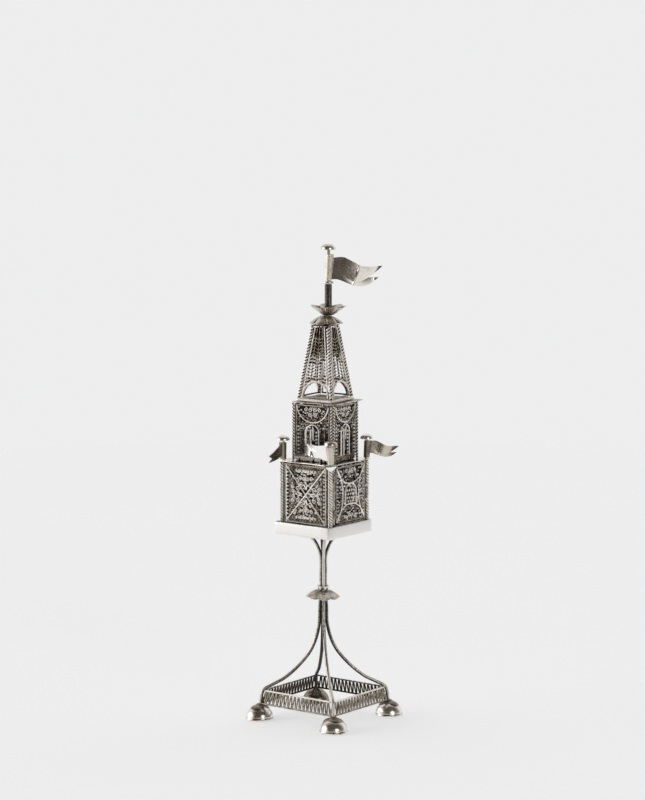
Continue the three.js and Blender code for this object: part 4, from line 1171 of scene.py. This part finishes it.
def build_spire():
    """Leaning walls in upright bands, with an open arch at the foot, darker towards the top with painted
    shade.
    """
    foot_z, slant = height_of("spire_sill")[1] + 0.3, 35.3
    low_half, top_half = 7.97, 3.0
    arch_half, arch_top = low_half - 0.7, 7.7
    dense, sparse, rung_pitch, curl_pitch = 20, 30, 1.6, 1.15

    def edge_at(v, share):
        return share * (low_half + (top_half - low_half) * v / slant)

    def beyond_arch(u, v):
        return v > arch_top * (1 - (u / arch_half) ** 2) + 0.6

    for side, name in enumerate(SIDES):
        leaning = wall_place(side, SPIRE_LOW_HALF, SPIRE_TOP_HALF, foot_z, foot_z + 35.6)
        wall = Wall(upper_place() @ leaning @ moved(0, 0.35, 0))
        wall.draw("strip", bow(arch_half, arch_top, 0.35, 30))
        wall.draw("main", bow(arch_half + 0.1, arch_top + 0.3, 0.35, 30))
        wall.draw("rim", line((0.4 - low_half, 0.35), (low_half - 0.4, 0.35)))
        wall.draw("fine", line((0, arch_top + 0.4), (0, slant - 0.2)))
        for hand in (-1, 1):
            wall.draw("main", line((hand * (low_half - 0.4), 0.3), (hand * (top_half - 0.4), slant - 0.1)))
            rib = (hand * edge_at(6.2, 0.5), 6.2), (hand * edge_at(slant, 0.5), slant - 0.4)
            wall.draw("fine", line(*rib))
            for near, far, foot, rise in ((0.04, 0.46, arch_top + 0.9, 0.35), (0.54, 0.93, 5.6, -0.35)):
                for v in np.arange(foot, slant - 0.8, rung_pitch):
                    # The rungs darken with height, and the highest are dark back wires: painted shade.
                    kind = "thin" if v < dense else "fine" if v < sparse else "back"
                    ends = [(hand * edge_at(v, near), v - rise), (hand * edge_at(v, far), v + rise)]
                    wall.draw(kind, np.array(ends))
        draw = np.random.default_rng(95 + side)
        # Dark curls behind the rungs, painted shade, more of them towards the top.
        for v in np.arange(arch_top + 2.0, slant - 0.8, curl_pitch):
            for u in np.arange(0.55, edge_at(v, 1) - 0.3, curl_pitch):
                for hand in (-1, 1):
                    if draw.random() <= (v - 16) / 9:
                        wall.painted_shade_curl((hand * u, v), 0.72, draw.uniform(0, 360), 1.3 * hand)
        wall.fill((-low_half, 0.5), (low_half, 9.5), 0.75, 90 + side, beyond_arch)
        wall.make(f"spire_filigree_{name}", f"spire_panel_{name}", FILIGREE)


# Top


def build_crown():
    """A small plate on the spire, with a peg that carries the flowers."""
    low, high = height_of("spire_crown")
    crown = Piece()
    edge = [(-4, low), (-0.1, low), (0, low + 0.1), (-0.15, low + 0.35), (-1.4, low + 0.7), (-4, low + 0.7)]
    tub(crown, edge, CROWN_HALF, 1.0)
    crown.carry(upper_place())
    peg = [(0.01, low + 0.5), (1.5, low + 0.5), (1.5, high - 0.2), (1.3, high), (0.01, high)]
    crown.lathe(peg, 24, (*CUP_SHIFT, 0))
    crown.make("spire_crown_plate", "spire_crown", ["brown"], 40)


def build_lower_flower():
    """A flower that hangs down, with a browned neck."""
    low, high = height_of("cup_lower")
    cup = Piece()
    place = moved(*CUP_SHIFT, high - 0.2) @ spin(37)
    shape = {"thickness": 0.4, "count": 6, "notch": 0.3, "fold": 0.75, "curl": 2.3, "dark": 0.6}
    petals(cup, place, 0.5, LOWER_CUP_RADIUS, low - high + 0.4, **shape)
    neck = [(0.01, -1.0), (3.3, -1.0), (3.1, -0.4), (2.9, 0.1), (0.01, 0.2)]
    cup.lathe(neck, 32, slot=1, wear_and_light=0.9, place=place)
    cup.make("lower_flower", "cup_lower", ["cup", "brown"])


def build_upper_flower():
    """A flower that opens up round the pole, with a browned neck."""
    low, high = height_of("cup_upper")
    cup = Piece()
    place = moved(*POLE_SHIFT, low + 0.25) @ spin(20)
    bore = POLE_RADIUS + 0.1
    shape = {"thickness": 0.4, "count": 6, "notch": 0.26, "fold": 0.6, "curl": 1.3, "dark": 0.9}
    petals(cup, place, bore, UPPER_CUP_RADIUS, high - low - 0.7, **shape)
    neck = [(bore, -0.24), (2.7, -0.24), (3.3, 0.1), (4.0, 0.55), (4.8, 1.15), (4.6, 1.5), (bore, 0.5)]
    cup.lathe(neck + neck[:1], 40, slot=1, wear_and_light=0.9, place=place)
    cup.make("upper_flower", "cup_upper", ["cup", "brown"])


def build_pole():
    """A dark tube with a slight seam, and a painted highlight along it."""
    low, high = height_of("pole")
    segments = 64

    def seam_and_highlight(angle, width):
        return np.exp(-((angle - math.radians(SEAM_AND_HIGHLIGHT_TURN)) / width) ** 2)

    def seamed(radius, height, angle):
        return radius * (1 - 0.06 * seam_and_highlight(angle, 0.16)), height

    tube = Piece()
    profile = [(0.01, low), (POLE_RADIUS, low), (POLE_RADIUS, high - 0.1)]
    profile += [(POLE_RADIUS - 0.12, high), (0.01, high)]
    # Painted highlight: a lighter strip of wear along the seam.
    bright = 0.3 + 0.35 * seam_and_highlight(np.arange(segments) * 2 * math.pi / segments, 0.24)
    wear_and_light = np.broadcast_to(bright, (len(profile), segments))
    tube.lathe(profile, segments, (*POLE_SHIFT, 0), 0, wear_and_light, seamed)
    tube.make("pole_tube", "pole", ["pole"])


def build_rod():
    """The rod that the pennant turns on, with its washer."""
    low, high = height_of("pennant_rod")
    rod = Piece()
    washer = [(0.01, 0), (2.5, 0), (2.85, 0.25), (2.95, 0.65), (2.85, 1.05), (2.5, 1.3), (ROD_RADIUS, 1.3)]
    profile = [(radius, low + z) for radius, z in washer] + [(ROD_RADIUS, high), (0.01, high)]
    rod.lathe(profile, 40, (*POLE_SHIFT, 0))
    rod.make("rod_and_washer", "pennant_rod", ["polished"], 40)


def cap_profile(radius, height, bore=0.01):
    """A domed cap with a thin lip and a hollow underside, from its middle out and over."""
    under = [(bore, height * 0.34), (radius * 0.5, height * 0.34), (radius * 0.86, height * 0.1)]
    over = [(radius * 0.95, 0), (radius * 0.99, 0.03), (radius, height * 0.1), (radius * 0.97, height * 0.2)]
    angles = np.linspace(0.12, 1.5, 10)
    dome = [(radius * 0.97 * math.cos(a), height * (0.2 + 0.8 * math.sin(a))) for a in angles]
    return under + over + dome + [(0.01, height)]


def build_top_cap():
    low, high = height_of("top_cap")
    cap = Piece()
    cap.lathe(cap_profile(CAP_RADIUS, high - low), 56, (*POLE_SHIFT, low))
    cap.make("top_cap_dome", "top_cap", ["polished"])


# Edges of the pennants, outwards from the rod: shares of the length, with heights in millimetres or,
# in FLYING, in shares of the height
FLYING = {
    "top": [(0.06, 0.96), (0.13, 0.97), (0.21, 0.99), (0.3, 0.975), (0.4, 0.86), (0.49, 0.75), (0.585, 0.635)]
    + [(0.68, 0.59), (0.9, 0.6), (1.0, 0.61)],
    "low": [(0.06, 0.05), (0.167, 0.05), (0.28, -0.04), (0.374, -0.13), (0.456, -0.2), (0.574, -0.25)]
    + [(0.696, -0.21), (0.8, -0.1), (0.93, 0.14)],
    "end": [(0.93, 0.14), (0.83, 0.125), (0.72, 0.12), (0.81, 0.25), (0.93, 0.46), (1.0, 0.61)],
}
RISING = {
    "top": [(0.1, 8.9), (0.2, 9.2), (0.31, 9.0), (0.485, 8.7), (0.66, 9.0), (0.8, 10.3), (0.9, 11.3)]
    + [(0.98, 12.1)],
    "low": [(0.1, 1.2), (0.22, 1.5), (0.38, 2.4), (0.6, 2.5), (0.78, 3.3), (0.95, 4.8)],
    "end": [(0.95, 4.8), (0.97, 9.4), (0.74, 7.9), (0.86, 9.6), (0.98, 12.1)],
}
DROOPING = {
    "top": [(0.1, 8.2), (0.25, 8.0), (0.5, 6.4), (0.75, 4.5), (1.0, 3.3)],
    "low": [(0.1, 1.6), (0.3, 1.3), (0.55, 0.6), (0.8, 0.15), (0.97, 0.15)],
    "end": [(0.97, 0.15), (0.76, 1.7), (1.0, 3.3)],
}


def scaled(shape, height, lift):
    return {edge: [(x, z * height + lift) for x, z in points] for edge, points in shape.items()}


SMALL_FLYING = scaled(FLYING, SMALL_HEIGHT, 1.8)

# How far a sheet leans back: shares of its length, each with its degrees
TOP_LEAN = [(0, 5), (0.51, 7), (0.53, -8), (0.85, -9), (0.88, 9), (1, 10)]
SMALL_LEAN = [(0, 8), (0.4, 8), (0.55, -7), (0.7, -5), (0.85, 9), (1, 12)]
# The pennants' silvers are lighter and darker copies for the light each one catches: the white silver on the
# front right one is painted light, the brown on the front left one painted shade.
SMALL_SHEETS = {
    "front_right": (RISING, [(0, 9), (0.66, 9), (0.74, -16), (1, -16)], ["white", "sleeve"]),
    "back_right": (SMALL_FLYING, SMALL_LEAN, ["dull", "brown"]),
    "back_left": (SMALL_FLYING, SMALL_LEAN, ["flag", "dull"]),
    "front_left": (DROOPING, [(0, 6), (1, 3)], ["brown", "brown"]),
}


def evenly(points, count, smooth=True):
    """Points at even distances along a path."""
    path = through(points, 8) if smooth else np.array(points)
    run = np.append(0, np.cumsum(np.hypot(*np.diff(path, axis=0).T)))
    at = np.linspace(0, run[-1], count)
    return np.column_stack([np.interp(at, run, path[:, 0]), np.interp(at, run, path[:, 1])])


def flag_grid(shape, length, wave, lean):
    """A swallow-tailed sheet that leaves its rod along x, with a wave in it."""
    rows, columns = 26, 72
    top, low, end = [[(x * length, z) for x, z in shape[edge]] for edge in ("top", "low", "end")]
    top, low, end = evenly(top, columns)[None], evenly(low, columns)[None], evenly(end, rows, False)[:, None]
    start = np.linspace(low[0, 0], top[0, 0], rows)[:, None]
    s = np.linspace(0, 1, columns)[None, :, None]
    t = np.linspace(0, 1, rows)[:, None, None]
    near, far = [(1 - t) * low[:, at] + t * top[:, at] for at in (slice(0, 1), slice(-1, None))]
    corners = (1 - s) * near + s * far
    flat = (1 - t) * low + t * top + (1 - s) * start + s * end - corners
    x, z = flat[..., 0], flat[..., 1]
    share = np.clip(x / length, 0, 1)
    above = z - (low[0, :, 1] + top[0, :, 1])[None, :] / 2
    slanted = np.clip(share - 0.0097 * above, 0, 1)
    tilt = np.tan(np.radians(np.interp(slanted, *zip(*lean))))
    y = wave * np.sin(share * 0.85 * 2 * math.pi) * np.sqrt(share) + above * tilt
    return np.stack([x, y, z], axis=-1)


def add_sleeve(piece, place, bore, low_radius, top_radius, tall, lean=0.75):
    """The end of the sheet, rolled round the rod, wider and leaning out towards its top."""
    angle = np.linspace(0, 2 * math.pi, 44, endpoint=False)
    overlap = 0.16 * ((angle / (2 * math.pi) + 0.42) % 1) - 0.08
    heights = np.linspace(0, tall, 12)
    inside = [(bore, 0, v) for v in heights[::-1]]
    outside = [(between(low_radius, top_radius, v / tall), lean * v / tall, v) for v in heights]
    rings = []
    for radius, shift, v in inside + outside + [(bore, 0, tall)]:
        reach = radius + (overlap if radius > bore else 0 * angle)
        rings.append(np.column_stack([reach * np.cos(angle) + shift, reach * np.sin(angle), 0 * angle + v]))
    piece.loft(rings, 1, 0.85, False, place)


def build_top_flag():
    """The large pennant at the top."""
    piece = Piece()
    place = moved(*POLE_SHIFT, height_of("pennant_rod")[0] + 1.6) @ spin(PENNANT_YAW)
    sheet = flag_grid(scaled(FLYING, PENNANT_HEIGHT, 0), PENNANT_LENGTH, -0.75, TOP_LEAN)
    piece.shell(sheet, 0.4, place=place)
    add_sleeve(piece, place, ROD_RADIUS + 0.2, 1.75, 2.15, 13.1)
    piece.make("top_flag", "top_pennant", ["flag", "sleeve"], body="top_pennant")


def build_small_flags():
    """Posts with mushroom caps on the corners of the lower plate, each with its pennant."""
    for name, (shape, lean, looks) in SMALL_SHEETS.items():
        at = middle_of(f"small_post_{name}")
        low, high = height_of(f"small_post_{name}")
        post = Piece()
        collar = [(0.01, low - 0.4), (1.15, low - 0.4), (1.0, low + 0.2), (0.8, low + 0.27)]
        cap = cap_profile(SMALL_CAP_RADIUS, SMALL_CAP_HEIGHT, 0.8)
        post.lathe(collar + [(radius, z + high - SMALL_CAP_HEIGHT) for radius, z in cap], 44, (*at, 0))
        post.make(f"small_post_{name}_cap", f"small_post_{name}", ["polished"])
        piece = Piece()
        place = moved(*at, low + 0.3) @ spin(SMALL_YAWS[name])
        piece.shell(flag_grid(shape, SMALL_LENGTH, 0.6, lean), 0.4, place=place)
        add_sleeve(piece, place, 1.0, 1.5, 1.95, 8.4)
        piece.make(f"small_flag_{name}", f"small_pennant_{name}", looks, body=f"pennant_{name}")


# Studio


def make_floor():
    """A pale round floor with a faint mottle."""
    mesh = bpy.data.meshes.new("studio_floor")
    count = 96
    angles = np.arange(count) * 2 * math.pi / count
    points = [(FLOOR_RADIUS * math.cos(a), FLOOR_RADIUS * math.sin(a), 0) for a in angles]
    mesh.from_pydata(points, [], [list(range(count))])
    floor = bpy.data.objects.new("studio_floor", mesh)
    bpy.context.scene.collection.objects.link(floor)
    material = bpy.data.materials.new("pale_floor")
    graph = Graph(material)
    shader = graph.nodes["Principled BSDF"]
    shader.inputs["Roughness"].default_value = 1.0
    shader.inputs["Specular IOR Level"].default_value = 0.0
    shader.inputs["Emission Strength"].default_value = 1.0
    shader.inputs["Emission Color"].default_value = (*FLOOR_GLOW, 1)
    mottle = graph.spread(graph.noise(9), 0.3, 0.7)
    colour = graph.mixed(mottle, (FLOOR_ALBEDO - FLOOR_MOTTLE,) * 3, (FLOOR_ALBEDO + FLOOR_MOTTLE,) * 3)
    graph.links.new(colour, shader.inputs["Base Color"])
    mesh.materials.append(material)


def make_light():
    """Soft light from large round sources in the surroundings, and a plain backdrop."""
    world = bpy.data.worlds.new("studio")
    bpy.context.scene.world = world
    graph = Graph(world)
    colour = ROOM
    for right, up, inner, outer, radiance in SOFT_LIGHTS:
        turn, rise = math.radians(AZIMUTH + right), math.radians(up)
        lobe = graph.node("ShaderNodeVectorMath")
        lobe.operation = "DOT_PRODUCT"
        level = math.cos(rise)
        lobe.inputs[1].default_value = (math.sin(turn) * level, -math.cos(turn) * level, math.sin(rise))
        graph.links.new(graph.place.outputs["Generated"], lobe.inputs[0])
        edge, middle = math.cos(math.radians(outer)), math.cos(math.radians(inner))
        share = graph.spread(lobe.outputs["Value"], edge, middle)
        colour = graph.mixed(share, colour, radiance, "ADD")
    seen = graph.node("ShaderNodeLightPath").outputs["Is Camera Ray"]
    graph.links.new(graph.mixed(seen, colour, BACKDROP), graph.nodes["Background"].inputs["Color"])


def make_camera():
    """The camera of the photograph, with the plain view transform."""
    data = bpy.data.cameras.new("photo_camera")
    data.sensor_fit = "HORIZONTAL"
    data.sensor_width = SENSOR_WIDTH
    data.lens = FOCAL_PIXELS / IMAGE_WIDTH * SENSOR_WIDTH
    camera = bpy.data.objects.new("photo_camera", data)
    bpy.context.scene.collection.objects.link(camera)
    turn = math.radians(AZIMUTH)
    x = math.sin(turn) * CAMERA_DISTANCE + math.cos(turn) * CAMERA_SIDESTEP
    y = -math.cos(turn) * CAMERA_DISTANCE + math.sin(turn) * CAMERA_SIDESTEP
    camera.location = (x, y, CAMERA_HEIGHT)
    camera.rotation_euler = (math.radians(90 - CAMERA_PITCH), 0, turn)
    bpy.context.scene.camera = camera
    bpy.context.scene.view_settings.view_transform = "Standard"


make_camera()
make_floor()
make_light()
make_looks()
build_feet()
build_gallery()
build_stem_wires()
build_knop()
build_ferrule()
build_tray()
build_ropes()
build_crossed_panels()
build_door()
build_sill()
build_hinge_pin()
build_door_pull()
build_lower_plate()
build_upper_panels()
build_upper_plate()
build_spire_sill()
build_spire()
build_crown()
build_lower_flower()
build_upper_flower()
build_pole()
build_rod()
build_top_cap()
build_top_flag()
build_small_flags()
